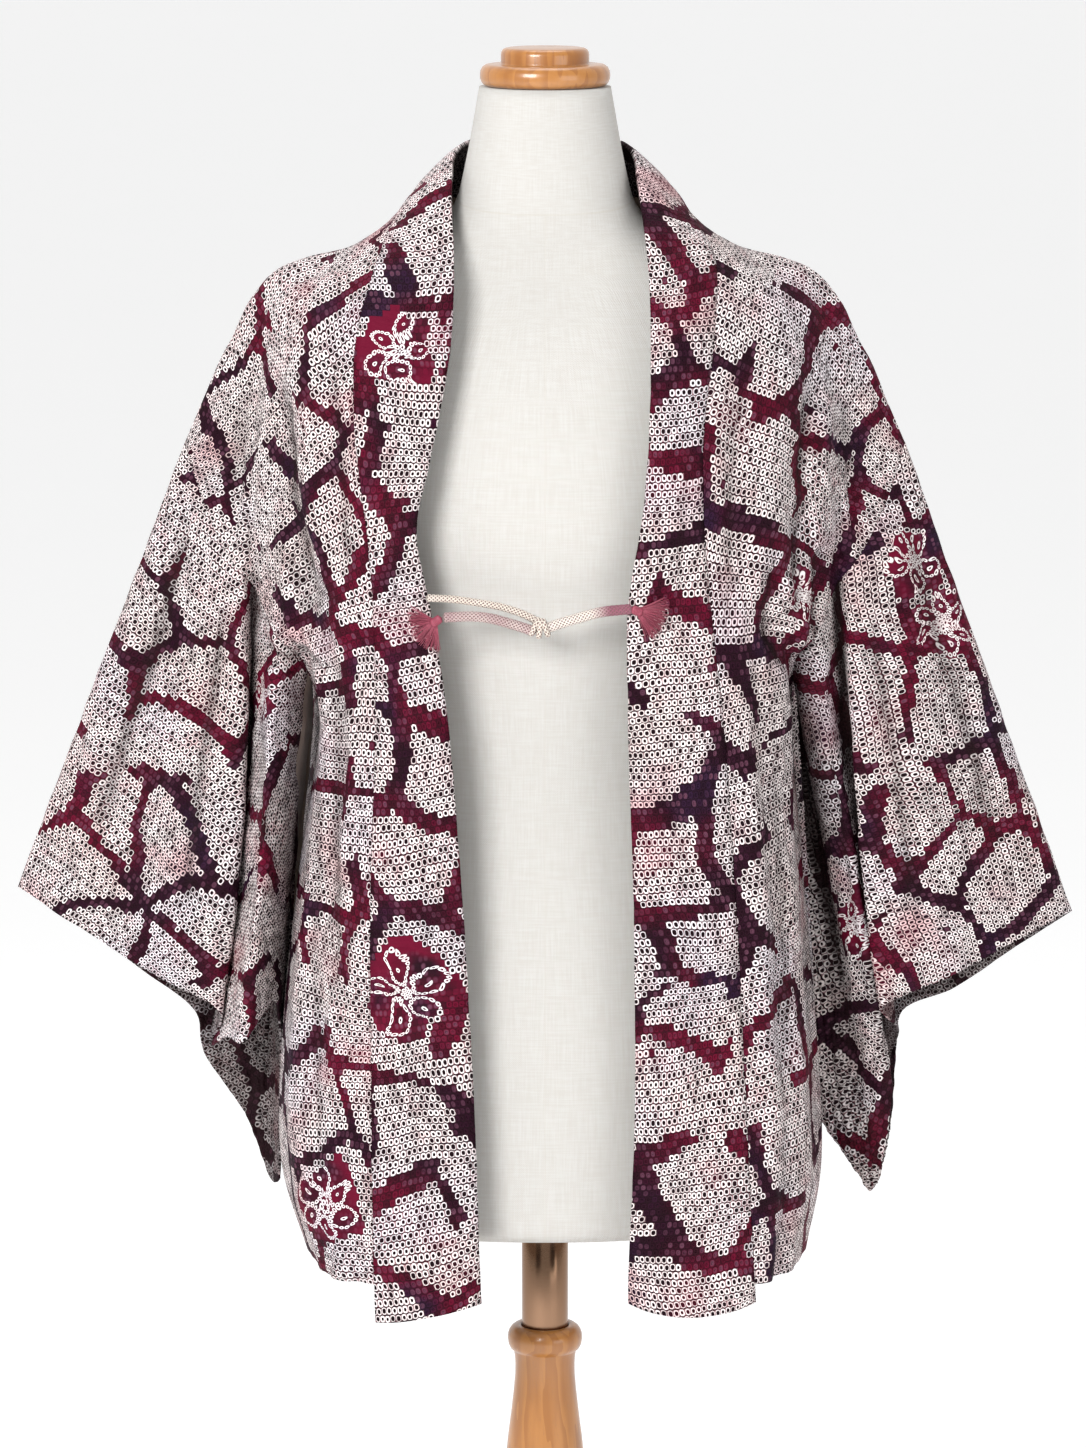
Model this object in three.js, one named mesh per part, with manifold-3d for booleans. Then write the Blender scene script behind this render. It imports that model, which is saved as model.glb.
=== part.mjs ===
// A haori, the short kimono jacket, of tie-dyed silk, standing open on a limbless dress form.
// Units are millimetres, +Z is up and the front faces -Y. Right and left are the wearer's, so right is -X.
// The origin is on the floor, at the middle of the round foot.

import * as THREE from "three";
import { mergeVertices } from "three/addons/utils/BufferGeometryUtils.js";
import Module from "manifold-3d";

const wasm = await Module();
wasm.setup();

// ---- Driving sizes ----

const CLOTH = 2.0; // the dimpled silk, as thick as it stands
const COLLAR_CLOTH = 3.2; // the collar is the silk folded double
const SEAM_GAP = 0.3; // left between two pieces where they are sewn
const SEAM_CUT = 0.7; // how far a panel is cut back from the piece it is sewn to, to keep a gap in folds too
const SIDES = { right: -1, left: 1 };

const FORM_BOTTOM = 655;
const NECK_TOP = 1425;
const CAP = { ringRadius: 43.5, ringHeight: 14.5, discRadius: 29.5, discHeight: 11 };
const POLE_RADIUS = 16;
const COLUMN_TOP = 571;
const FOOT = { radius: 185, height: 30 };

// ---- Curves and surfaces ----

const at = (side, [out, y, z]) => new THREE.Vector3(side * out, y, z);
const smooth = (t) => t * t * (3 - 2 * t);
const clamp01 = (t) => Math.min(1, Math.max(0, t));

/** A smooth curve through the points; index counts them, so 2.5 is halfway from the third to the fourth. */
function through(points, closed = false) {
  const curve = new THREE.CatmullRomCurve3(points, closed, "centripetal");
  const spans = closed ? points.length : points.length - 1;
  return (index) => {
    const turn = index / spans;
    return curve.getPoint(closed ? turn - Math.floor(turn) : clamp01(turn));
  };
}

/** A smooth run of single numbers, one for each row of a table. */
function along(values) {
  const curve = through(values.map((value, row) => new THREE.Vector3(row, value, 0)));
  return (index) => curve(index).y;
}

/** Straight from number to number, one for each row of a table. */
const stepped = (values) => (index) => {
  const row = Math.min(Math.floor(index), values.length - 2);
  return THREE.MathUtils.lerp(values[row], values[row + 1], index - row);
};

/** Whole rows from the first to the last, with finer steps inside each zone. */
function rowSteps(last, zones) {
  const quarters = Array.from({ length: 4 * last + 1 }, (_, i) => i / 4);
  const wanted = (row) => zones.some(({ from, to, step }) => row > from && row < to && row % step === 0);
  return quarters.filter((row) => Number.isInteger(row) || wanted(row));
}

/** The unit normal of a grid of points at row i, column j. */
function normalAt(grid, i, j, ring) {
  const row = grid[i];
  const last = row.length - 1;
  const before = ring ? row[(j + last) % (last + 1)] : row[Math.max(0, j - 1)];
  const after = ring ? row[(j + 1) % (last + 1)] : row[Math.min(last, j + 1)];
  const down = grid[Math.max(0, i - 1)][j];
  const up = grid[Math.min(grid.length - 1, i + 1)][j];
  const across = after.clone().sub(before);
  return across.cross(up.clone().sub(down)).normalize();
}

/** A sheet of cloth: the grid down its middle and the normals there. A ring's columns go right round. */
function sheet(grid, ring = false) {
  return { grid, ring, normals: grid.map((row, i) => row.map((_, j) => normalAt(grid, i, j, ring))) };
}

/** The point that lies past the end of a line, on from the one before the end. */
const beyond = (end, before, past) => end.clone().add(end.clone().sub(before).setLength(past));

/** The same sheet, gone on past its first row. */
function longerAtStart({ grid, ring, normals }, past) {
  const start = grid[0].map((point, j) => beyond(point, grid[1][j], past));
  return { grid: [start, ...grid], ring, normals: [normals[0], ...normals] };
}

/** The same sheet, gone on past its last column. */
function widerAtEnd({ grid, ring, normals }, past) {
  const wider = grid.map((row) => [...row, beyond(row.at(-1), row.at(-2), past)]);
  return { grid: wider, ring, normals: normals.map((row) => [...row, row.at(-1)]) };
}

/** The closed wall of a sheet, as the solid that manifold-3d cuts and joins. */
function wallOf({ grid, ring, normals }, thickness) {
  const rows = grid.length;
  const columns = grid[0].length;
  const points = [0.5, -0.5].flatMap((face) =>
    grid.flatMap((row, i) =>
      row.map((point, j) => point.clone().addScaledVector(normals[i][j], face * thickness)),
    ),
  );
  const inner = rows * columns;
  const spot = (i, j) => i * columns + (j % columns);
  const triangles = [];
  const quad = (a, b, c, d) => triangles.push(a, b, c, a, c, d);
  const rim = (a, b) => quad(b, a, a + inner, b + inner);
  const spans = ring ? columns : columns - 1;
  for (let i = 0; i < rows - 1; i++)
    for (let j = 0; j < spans; j++) {
      const corners = [spot(i, j), spot(i, j + 1), spot(i + 1, j + 1), spot(i + 1, j)];
      quad(...corners);
      quad(...corners.map((corner) => corner + inner).reverse());
    }
  for (let j = 0; j < spans; j++) {
    rim(spot(0, j), spot(0, j + 1));
    rim(spot(rows - 1, j + 1), spot(rows - 1, j));
  }
  for (let i = 0; i < rows - 1 && !ring; i++) {
    rim(spot(i + 1, 0), spot(i, 0));
    rim(spot(i, columns - 1), spot(i + 1, columns - 1));
  }
  return solidFrom(points.flatMap((point) => point.toArray()), triangles);
}

/** A solid from points and triangles, turned to face outwards. */
function solidFrom(numbers, triangles) {
  const make = (order) =>
    new wasm.Manifold(
      new wasm.Mesh({
        numProp: 3,
        vertProperties: new Float32Array(numbers),
        triVerts: new Uint32Array(order),
      }),
    );
  const made = make(triangles);
  return made.volume() > 0 ? made : make(triangles.slice().reverse());
}

/** A three.js geometry as a solid. */
function solidOf(geometry) {
  const bare = geometry.index ? geometry.toNonIndexed() : geometry.clone();
  const position = new THREE.BufferGeometry().setAttribute("position", bare.getAttribute("position"));
  const merged = mergeVertices(position, 1e-3);
  return solidFrom([...merged.attributes.position.array], [...merged.index.array]);
}

/** The largest body that is left of a solid when the cutters have been taken off it. */
function cutBy(solid, cutters) {
  const left = cutters.reduce((rest, cutter) => rest.subtract(cutter), solid);
  return left.decompose().reduce((best, body) => (body.volume() > best.volume() ? body : best));
}

/** A solid as a three.js geometry. */
function geometryOf(solid) {
  const mesh = solid.getMesh();
  const positions = new Float32Array(mesh.numVert * 3);
  for (let i = 0; i < mesh.numVert; i++)
    positions.set(mesh.vertProperties.subarray(i * mesh.numProp, i * mesh.numProp + 3), i * 3);
  const geometry = new THREE.BufferGeometry();
  geometry.setAttribute("position", new THREE.BufferAttribute(positions, 3));
  geometry.setIndex(new THREE.BufferAttribute(mesh.triVerts, 1));
  geometry.computeVertexNormals();
  return geometry;
}

// ---- Sleeves ----

// A sleeve is a tube of cloth hung from its top fold. Each row is one fold that runs from the armhole
// side, called seam, to the cuff; the rows go round the tube from the top fold, down the front and up the
// back. A place is [distance from the middle of the body, y, z]. Halfway, belly bows the fold along y and
// sway bows it outwards.
const SLEEVE_FOLDS = {
  right: [
    { fold: "top", seam: [242, 0, 1186], cuff: [359.6, 0, 880], belly: 0 },
    { fold: "wing_upper", seam: [231, -16, 1152], cuff: [318, -20, 857], belly: -10 },
    { fold: "wing_middle", seam: [216, -30, 1120], cuff: [270, -34, 829], belly: -14 },
    { fold: "wing_inner", seam: [204, -38, 1103], cuff: [224, -46, 804], belly: -8, sway: -9 },
    { fold: "valley", seam: [195, -31, 1093], cuff: [217, -22, 790], belly: -4, sway: -7 },
    { fold: "roll_outer", seam: [188, -42, 1079], cuff: [209, -50, 780], belly: -6, sway: -6 },
    { fold: "roll_front", seam: [178, -64, 1063], cuff: [203, -72, 788], belly: -8 },
    { fold: "roll_inner", seam: [162, -48, 1045], cuff: [184, -44, 811], belly: 0, sway: 2 },
    { fold: "turn", seam: [158, -10, 1002], cuff: [182, -12, 716], belly: 2, sway: 5 },
    { fold: "bottom_front", seam: [182, 6, 812], cuff: [187, -6, 675], belly: 0 },
    { fold: "bottom_back", seam: [186, 20, 816], cuff: [192, 7, 673], belly: 0 },
    { fold: "back_inner", seam: [177, 34, 930], cuff: [207, 18, 716], belly: 6 },
    { fold: "back_armpit", seam: [170, 44, 1047], cuff: [236, 29, 758], belly: 16 },
    { fold: "back_corner", seam: [182, 46, 1074], cuff: [241, 32, 784], belly: 18 },
    { fold: "back_wing", seam: [206, 38, 1108], cuff: [281, 31, 817], belly: 16 },
    { fold: "back_upper", seam: [228, 20, 1150], cuff: [322, 19, 852], belly: 10 },
  ],
  left: [
    { fold: "top", seam: [242, 0, 1186], cuff: [359.6, 0, 863], belly: 0 },
    { fold: "wing_upper", seam: [231, -16, 1152], cuff: [318, -22, 846], belly: -10 },
    { fold: "wing_middle", seam: [215, -30, 1120], cuff: [272, -36, 824], belly: -14 },
    { fold: "wing_inner", seam: [204, -38, 1105], cuff: [228, -46, 806], belly: -10, sway: -5 },
    { fold: "valley", seam: [196, -31, 1094], cuff: [241, -30, 786], belly: 0, sway: -4 },
    { fold: "roll_outer", seam: [189, -42, 1081], cuff: [236, -20, 766], belly: 0, sway: -4 },
    { fold: "roll_front", seam: [180, -60, 1063], cuff: [237, -21, 736], belly: 0 },
    { fold: "roll_inner", seam: [167, -48, 1045], cuff: [233, -19, 700], belly: 6 },
    { fold: "turn", seam: [171.5, -10, 1010], cuff: [228, -15, 676], belly: 2 },
    { fold: "bottom_front", seam: [190, 2, 717], cuff: [224, -7, 668], belly: 0 },
    { fold: "bottom_back", seam: [190, 15, 719], cuff: [229, 6, 669], belly: 0 },
    { fold: "back_inner", seam: [182, 32, 900], cuff: [238, 12, 706], belly: 8 },
    { fold: "back_armpit", seam: [176, 44, 1047], cuff: [243, 26, 762], belly: 16 },
    { fold: "back_corner", seam: [184, 46, 1074], cuff: [247, 31, 786], belly: 18 },
    { fold: "back_wing", seam: [206, 38, 1108], cuff: [282, 31, 802], belly: 16 },
    { fold: "back_upper", seam: [228, 20, 1150], cuff: [322, 22, 832], belly: 10 },
  ],
};
const SLEEVE_STATIONS = 12;
const POINTS_A_FOLD = 3;

/** The closed curve round a sleeve at a share of its width, 0 at the armhole and 1 at the cuff. */
function sleeveRing(name, share) {
  const side = SIDES[name];
  const points = SLEEVE_FOLDS[name].map(({ seam, cuff, belly, sway = 0 }) => {
    const point = at(side, seam).lerp(at(side, cuff), share);
    const halfway = 4 * share * (1 - share);
    return point.add(new THREE.Vector3(side * sway * halfway, belly * halfway, 0));
  });
  return through(points, true);
}

function sleeveSheet(name) {
  const count = SLEEVE_FOLDS[name].length * POINTS_A_FOLD;
  const grid = Array.from({ length: SLEEVE_STATIONS + 1 }, (_, i) => {
    const ring = sleeveRing(name, i / SLEEVE_STATIONS);
    return Array.from({ length: count }, (_, j) => ring(j / POINTS_A_FOLD));
  });
  return sheet(grid, true);
}

// ---- Collar ----

// The collar is one band from the right hem, round the neck, to the left hem. Each row is a station along
// half of it, from the hem to the nape: free is its open edge and seam the edge that is sewn to the
// jacket, as [distance from the middle of the body, y, z].
const COLLAR_STATIONS = {
  right: [
    { place: "end", free: [43, -128, 622], seam: [113, -125, 608] },
    { place: "hem", free: [44, -128, 648], seam: [114, -124, 634] },
    { place: "thigh", free: [47, -127, 743], seam: [115, -122, 743] },
    { place: "hip", free: [55, -126, 896], seam: [115, -120, 896] },
    { place: "waist", free: [65, -126, 1022], seam: [111, -119, 1022] },
    { place: "cord", free: [76, -125, 1094], seam: [112, -118, 1090] },
    { place: "bust", free: [85, -122, 1143], seam: [116, -116, 1140] },
    { place: "chest", free: [75, -114, 1192], seam: [124, -106, 1205] },
    { place: "collarbone", free: [63, -96, 1255], seam: [124, -84, 1262] },
    { place: "throat", free: [60, -74, 1310], seam: [112, -58, 1308] },
    { place: "neck_front", free: [62, -28, 1359], seam: [98, -14, 1340] },
    { place: "neck_back", free: [58, 18, 1382], seam: [84, 30, 1348] },
    { place: "nape_side", free: [36, 54, 1387], seam: [50, 69, 1345] },
    { place: "nape", free: [0, 66, 1389], seam: [0, 84, 1342] },
  ],
  left: [
    { place: "end", free: [56, -128, 622], seam: [141, -125, 622] },
    { place: "hem", free: [56, -128, 640], seam: [140, -124, 634] },
    { place: "thigh", free: [60, -127, 743], seam: [134, -122, 743] },
    { place: "hip", free: [59, -126, 890], seam: [126, -120, 890] },
    { place: "waist", free: [55, -125, 1022], seam: [116, -118, 1024] },
    { place: "cord", free: [55, -124, 1092], seam: [108, -117, 1092] },
    { place: "bust", free: [65, -121, 1158], seam: [103, -114, 1156] },
    { place: "chest", free: [69, -112, 1210], seam: [103, -105, 1205] },
    { place: "collarbone", free: [70, -93, 1262], seam: [110, -84, 1262] },
    { place: "throat", free: [68, -72, 1310], seam: [112, -56, 1311] },
    { place: "neck_front", free: [62, -28, 1359], seam: [98, -14, 1338] },
    { place: "neck_back", free: [57, 18, 1382], seam: [84, 30, 1348] },
    { place: "nape_side", free: [36, 54, 1387], seam: [50, 69, 1345] },
    { place: "nape", free: [0, 66, 1389], seam: [0, 84, 1342] },
  ],
};
const NAPE = COLLAR_STATIONS.right.length - 1;
const COLLAR_STEPS = rowSteps(NAPE, [{ from: 5, to: NAPE, step: 0.5 }]); // finer where the band curves
const COLLAR_COLUMNS = 5;
const COLLAR_ROUNDING = 5; // how far the band's middle stands proud of its edges
const COLLAR_DIP = { right: 2, left: 9 }; // how far the middle of each end hangs below its corners

/** The collar's free or seam edge on one side, by station. */
const collarEdge = (name, edge) =>
  through(COLLAR_STATIONS[name].map((station) => at(SIDES[name], station[edge])));

function collarSheet() {
  const shares = Array.from({ length: COLLAR_COLUMNS + 1 }, (_, j) => j / COLLAR_COLUMNS);
  const halves = Object.keys(SIDES).map((name) => {
    const free = collarEdge(name, "free");
    const seam = collarEdge(name, "seam");
    const rows = [];
    for (const station of COLLAR_STEPS) {
      const a = free(station);
      const b = seam(station);
      const middle = a.clone().lerp(b, 0.5);
      const away = new THREE.Vector3(middle.x, middle.y, 0).normalize();
      const upright = new THREE.Vector3(0, -1, 0).lerp(away, smooth(clamp01((station - 8) / 2)));
      const dip = COLLAR_DIP[name] * clamp01(1 - station / 2);
      rows.push(
        shares.map((share) => {
          const bow = 4 * share * (1 - share);
          const point = a.clone().lerp(b, share).addScaledVector(upright, COLLAR_ROUNDING * bow);
          point.z -= dip * bow;
          return point;
        }),
      );
    }
    return rows;
  });
  return sheet([...halves[0], ...halves[1].slice(0, -1).reverse()]);
}

// ---- Body panels ----

// Each side of the body is one length of cloth from the front hem, over the shoulder, to the back hem. A
// row goes across it: from the collar or the centre back, by a middle point, to the ridge where the cloth
// turns to the side, and on to its outer edge. station is the place along the collar, and armhole the fold
// of the sleeve, that the row meets; where there is none, centre or edge gives the point. extra is how
// much wider the left side is. valley is how deep the cloth dips before the sleeve, and bow how far it
// swings out there. share is how far the middle point lies from the inner edge to the ridge.
const BODY_ROWS = [
  {
    row: "front_hem", station: 1, middle: [-117, 634],
    ridge: [149, -92, 634], edge: [162, -34, 634], extra: 16,
  },
  {
    row: "front_low", station: 1.55, middle: [-116, 696],
    ridge: [163, -91, 694], edge: [176, -33, 693], extra: 12,
  },
  {
    row: "front_hip", station: 2.35, middle: [-114, 792],
    ridge: [168, -87, 790], edge: [178, -29, 790], extra: 3,
  },
  {
    row: "front_side", station: 3.1, middle: [-112, 905],
    ridge: [158, -86, 902], edge: [166, -22, 900], extra: 8,
  },
  {
    row: "front_waist", station: 4, middle: [-111, 1018],
    ridge: [148, -84, 1012], edge: [152, -16, 1004], extra: 14,
  },
  {
    row: "front_armpit", station: 5, middle: [-110, 1082],
    ridge: [155, -82, 1058], armhole: 7, extra: 4,
  },
  {
    row: "front_bust", station: 6, middle: [-106, 1130],
    ridge: [171, -72, 1112], armhole: 5, valley: 2, bow: 2,
  },
  {
    row: "front_chest", station: 7, middle: [-94, 1196],
    ridge: [181, -54, 1180], armhole: 3, valley: 12, bow: 6,
  },
  {
    row: "front_yoke", station: 8, middle: [-74, 1250],
    ridge: [183, -38, 1236], armhole: 2, valley: 14, bow: 2,
  },
  {
    row: "front_top", station: 9, middle: [-42, 1296],
    ridge: [182, -21, 1279], armhole: 1, valley: 4, bow: 4,
  },
  {
    row: "shoulder", station: 10, share: 0.32, middle: [0, 1320],
    ridge: [182, 2, 1300], armhole: 0, bow: 5,
  },
  {
    row: "back_top", station: 11, share: 0.4, middle: [40, 1302],
    ridge: [182, 26, 1279], armhole: -1, valley: -4, bow: 3,
  },
  {
    row: "back_yoke", station: 12, middle: [72, 1272],
    ridge: [182, 42, 1230], armhole: -2, valley: -10, bow: 2,
  },
  {
    row: "back_neck", station: 13, middle: [94, 1246],
    ridge: [180, 62, 1176], armhole: -3, valley: -6, bow: 2,
  },
  {
    row: "back_armpit", centre: [0, 107, 1240], middle: [108, 1172],
    ridge: [171, 84, 1100], armhole: -4,
  },
  {
    row: "back_waist", centre: [0, 114, 1080], middle: [112, 1050],
    ridge: [166, 84, 1016], edge: [152, 20, 1004], extra: 12,
  },
  {
    row: "back_side", centre: [0, 118, 905], middle: [114, 902],
    ridge: [174, 90, 900], edge: [166, 27, 900], extra: 8,
  },
  {
    row: "back_hip", centre: [0, 120, 790], middle: [115, 790],
    ridge: [180, 91, 790], edge: [178, 34, 790], extra: 3,
  },
  {
    row: "back_low", centre: [0, 121, 694], middle: [116, 694],
    ridge: [164, 92, 694], edge: [176, 36, 693], extra: 12,
  },
  {
    row: "back_hem", centre: [0, 122, 634], middle: [118, 634],
    ridge: [152, 93, 634], edge: [162, 36, 634], extra: 16,
  },
];
const MIDDLE_SHARE = 0.55; // where a row gives no share
const SHOULDER = { from: 4, to: 15, step: 0.5 };
const SLEEVE_FOLD = { from: 5, to: 7, step: 0.25 };
const BODY_STEPS = rowSteps(BODY_ROWS.length - 1, [SHOULDER, SLEEVE_FOLD]);
const BODY_COLUMNS = 12;
const CENTRE_GAP = 0.28; // each back half stops this short of the middle
const ARMHOLE_ROWS = [5, 14]; // the first and last row that a sleeve is sewn to
const NECK_ROW = 13; // the last row that meets the collar

const FOLD_FADE = 1.4; // rows that a trough takes to fade out

// The largest soft folds of the body, as troughs. across is the share of the row's width that each lies at;
// from and to are rows.
const BODY_FOLDS = {
  right: [
    { fold: "collar_side", across: 0.15, lean: 0, from: 0, to: 5.5, depth: 3, width: 0.08 },
    { fold: "bust_to_hip", across: 0.34, lean: 0.01, from: 0.5, to: 7.5, depth: 6, width: 0.1 },
    { fold: "back_drape", across: 0.35, lean: -0.02, from: 13.2, to: 19, depth: 7, width: 0.11 },
    { fold: "back_side", across: 0.7, lean: 0, from: 14.4, to: 19, depth: 4, width: 0.1 },
  ],
  left: [
    { fold: "shoulder_drape", across: 0.3, lean: -0.03, from: 3.5, to: 9, depth: 6, width: 0.1 },
    { fold: "bust_to_hem", across: 0.34, lean: -0.01, from: 0, to: 5, depth: 6, width: 0.1 },
    { fold: "back_drape", across: 0.4, lean: 0.02, from: 13.2, to: 19, depth: 7, width: 0.11 },
    { fold: "back_side", across: 0.72, lean: 0, from: 14.4, to: 19, depth: 4, width: 0.1 },
  ],
};

/** How deep the troughs of one side are at a row and a share of its width; they fade out at both ends. */
function troughs(name, row, share) {
  const last = BODY_ROWS.length - 1;
  return BODY_FOLDS[name].reduce((sum, { across, lean, from, to, depth, width }) => {
    const start = from > 0 ? smooth(clamp01((row - from) / FOLD_FADE)) : 1;
    const end = to < last ? smooth(clamp01((to - row) / FOLD_FADE)) : 1;
    const off = (share - across - lean * (row - from)) / width;
    return sum + depth * start * end * Math.exp(-off * off);
  }, 0);
}

/** The curve across one body panel at a row, which may lie between two rows of the table. */
function bodyRow(name) {
  const side = SIDES[name];
  const wider = ({ extra = 0 }, [out, y, z]) => at(side, [out + (name === "left" ? extra : 0), y, z]);
  const seam = collarEdge(name, "seam");
  const hole = sleeveRing(name, 0);
  const last = BODY_ROWS.length - 1;
  const [holeStart, holeEnd] = ARMHOLE_ROWS;
  const column = (pick, from = 0, to = last) => along(BODY_ROWS.slice(from, to + 1).map(pick));
  const station = column((row) => row.station, 0, NECK_ROW);
  const armhole = stepped(BODY_ROWS.slice(holeStart, holeEnd + 1).map((row) => row.armhole));
  const middleY = column((row) => row.middle[0]);
  const middleZ = column((row) => row.middle[1]);
  const share = column((row) => row.share ?? MIDDLE_SHARE);
  const valley = column((row) => row.valley ?? 0);
  const bow = column((row) => row.bow ?? 0);
  const ridge = through(BODY_ROWS.map((row) => wider(row, row.ridge)));
  const edges = BODY_ROWS.map((row) => (row.edge ? wider(row, row.edge) : hole(row.armhole)));
  const front = through(edges.slice(0, holeStart + 1));
  const back = through(edges.slice(holeEnd));
  const centre = through(
    BODY_ROWS.slice(NECK_ROW).map((row) => at(side, row.centre ?? [0, seam(NAPE).y, seam(NAPE).z])),
  );
  return (index) => {
    const inner = index <= NECK_ROW ? seam(station(index)) : centre(index - NECK_ROW);
    inner.x += side * CENTRE_GAP;
    const turn = ridge(index);
    const edge =
      index < holeStart
        ? front(index)
        : index > holeEnd
          ? back(index - holeEnd)
          : hole(armhole(index - holeStart));
    const x = THREE.MathUtils.lerp(inner.x, turn.x, share(index));
    const middle = new THREE.Vector3(x, middleY(index), middleZ(index));
    const dip = turn.clone().lerp(edge, 0.45);
    dip.x += side * bow(index);
    dip.y += valley(index);
    return through([inner, middle, turn, dip, edge]);
  };
}

function bodySheet(name) {
  const across = bodyRow(name);
  const grid = BODY_STEPS.map((row) => {
    const curve = across(row);
    return Array.from({ length: BODY_COLUMNS + 1 }, (_, j) => curve((4 * j) / BODY_COLUMNS));
  });
  const folded = grid.map((row, i) =>
    row.map((point, j) => {
      const share = j / BODY_COLUMNS;
      const inwards = normalAt(grid, i, j, false);
      if (inwards.dot(point) > 0) inwards.negate();
      const free = smooth(clamp01(share / 0.12)) * smooth(clamp01((1 - share) / 0.12));
      return point.clone().addScaledVector(inwards, free * troughs(name, BODY_STEPS[i], share));
    }),
  );
  return sheet(folded);
}

// ---- Side gussets ----

const GUSSET_TOP_ROW = 4.5; // how far up the front and back edges the gusset reaches
const GUSSET_STEPS = [...BODY_STEPS.filter((row) => row < GUSSET_TOP_ROW), GUSSET_TOP_ROW];
const GUSSET_COLUMNS = 4;
const GUSSET_HOLLOW = 3; // how far its middle is drawn in
const GUSSET_EASE = 0.95; // it stops this short of the edges it is sewn to, which meet it at an angle

function gussetSheet(name) {
  const across = bodyRow(name);
  const last = BODY_ROWS.length - 1;
  const grid = GUSSET_STEPS.map((row) => {
    const front = across(row)(4);
    const back = across(last - row)(4);
    const ease = GUSSET_EASE / front.distanceTo(back);
    return Array.from({ length: GUSSET_COLUMNS + 1 }, (_, j) => {
      const share = THREE.MathUtils.lerp(ease, 1 - ease, j / GUSSET_COLUMNS);
      const point = front.clone().lerp(back, share);
      point.x -= SIDES[name] * GUSSET_HOLLOW * 4 * share * (1 - share);
      return point;
    });
  });
  return sheet(grid);
}

// ---- The cord that ties the fronts ----

const CORDS = {
  cord_right_upper: {
    radius: 2.6,
    route: [
      [-78, -129.8, 1100],
      [-60, -129.3, 1099],
      [-28, -127.5, 1093.5],
      [-6, -126, 1084.5],
    ],
  },
  cord_right_lower: {
    radius: 3.5,
    route: [
      [-67, -131.6, 1087.3],
      [-48, -131.4, 1088],
      [-28, -130, 1084.5],
      [-8, -128, 1077],
    ],
  },
  cord_left: {
    radius: 3.6,
    route: [
      [2, -127.5, 1080],
      [20, -129, 1086],
      [38, -130.6, 1091],
      [56, -130.6, 1092.8],
    ],
  },
};
const CORD_SIDES = 8;
const CORD_STEPS = 10;
const KNOT = { centre: [-3, -127, 1080], size: [8, 6, 6.5] };
const TASSELS = {
  tassel_right: { head: [-69.2, -131.6, 1086.4], toward: [-0.82, 0, -0.57], spread: 2.1 },
  tassel_left: { head: [57.9, -130.9, 1092.5], toward: [0.92, 0, -0.36], spread: 1.3 },
};
const TASSEL = {
  headLength: 5,
  headRadius: 3.2,
  headTaper: 0.75,
  strands: 18,
  length: 17,
  unevenness: 0.12, // how much shorter each step down in length is
  sunk: 1.2, // how deep the strands start inside the head
  rootSpread: 3.2,
  rootRadius: 0.9,
  tipRadius: 0.55,
  layers: 2,
  fall: 0.08,
  lift: 0.16,
};

function cordSolid({ radius, route }) {
  const path = new THREE.CatmullRomCurve3(route.map((point) => new THREE.Vector3(...point)));
  const section = new THREE.Shape();
  for (let i = 0; i < CORD_SIDES; i++) {
    const turn = (2 * Math.PI * i) / CORD_SIDES;
    section[i ? "lineTo" : "moveTo"](radius * Math.cos(turn), radius * Math.sin(turn));
  }
  section.closePath();
  return solidOf(new THREE.ExtrudeGeometry(section, { steps: CORD_STEPS, extrudePath: path }));
}

function knotSolid(grow = 0) {
  const size = KNOT.size.map((half) => half + grow);
  return solidOf(new THREE.SphereGeometry(1, 14, 10).scale(...size).translate(...KNOT.centre));
}

/** A tapered rod from one point to another, with a few flat sides. */
function rod(start, end, startRadius, endRadius, sides) {
  const axis = end.clone().sub(start);
  const geometry = new THREE.CylinderGeometry(endRadius, startRadius, axis.length(), sides);
  const upright = new THREE.Vector3(0, 1, 0);
  const turn = new THREE.Quaternion().setFromUnitVectors(upright, axis.clone().normalize());
  geometry.applyQuaternion(turn).translate(...start.clone().addScaledVector(axis, 0.5).toArray());
  return solidOf(geometry);
}

/** A tassel: a bound head, and strands fused into it that fan out flat over the collar. */
function tasselSolid({ head, toward, spread }) {
  const start = new THREE.Vector3(...head);
  const main = new THREE.Vector3(...toward).normalize();
  const sideways = new THREE.Vector3(0, -1, 0).cross(main).normalize();
  const neck = start.clone().addScaledVector(main, TASSEL.headLength);
  const parts = [rod(start, neck, TASSEL.headRadius, TASSEL.headRadius * TASSEL.headTaper, CORD_SIDES)];
  for (let i = 0; i < TASSEL.strands; i++) {
    const share = i / (TASSEL.strands - 1) - 0.5;
    const layer = i % TASSEL.layers;
    const angle = share * spread;
    const direction = main.clone().multiplyScalar(Math.cos(angle));
    direction.addScaledVector(sideways, Math.sin(angle));
    direction.y += TASSEL.fall - TASSEL.lift * layer;
    const root = neck.clone().addScaledVector(sideways, TASSEL.rootSpread * share);
    root.addScaledVector(main, -TASSEL.sunk);
    const length = TASSEL.length * (1 - TASSEL.unevenness * ((i * 7) % 3));
    const tip = root.clone().addScaledVector(direction, length);
    parts.push(rod(root, tip, TASSEL.rootRadius, TASSEL.tipRadius, 3));
  }
  return parts.reduce((all, part) => all.add(part));
}

// ---- Dress form and stand ----

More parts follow.
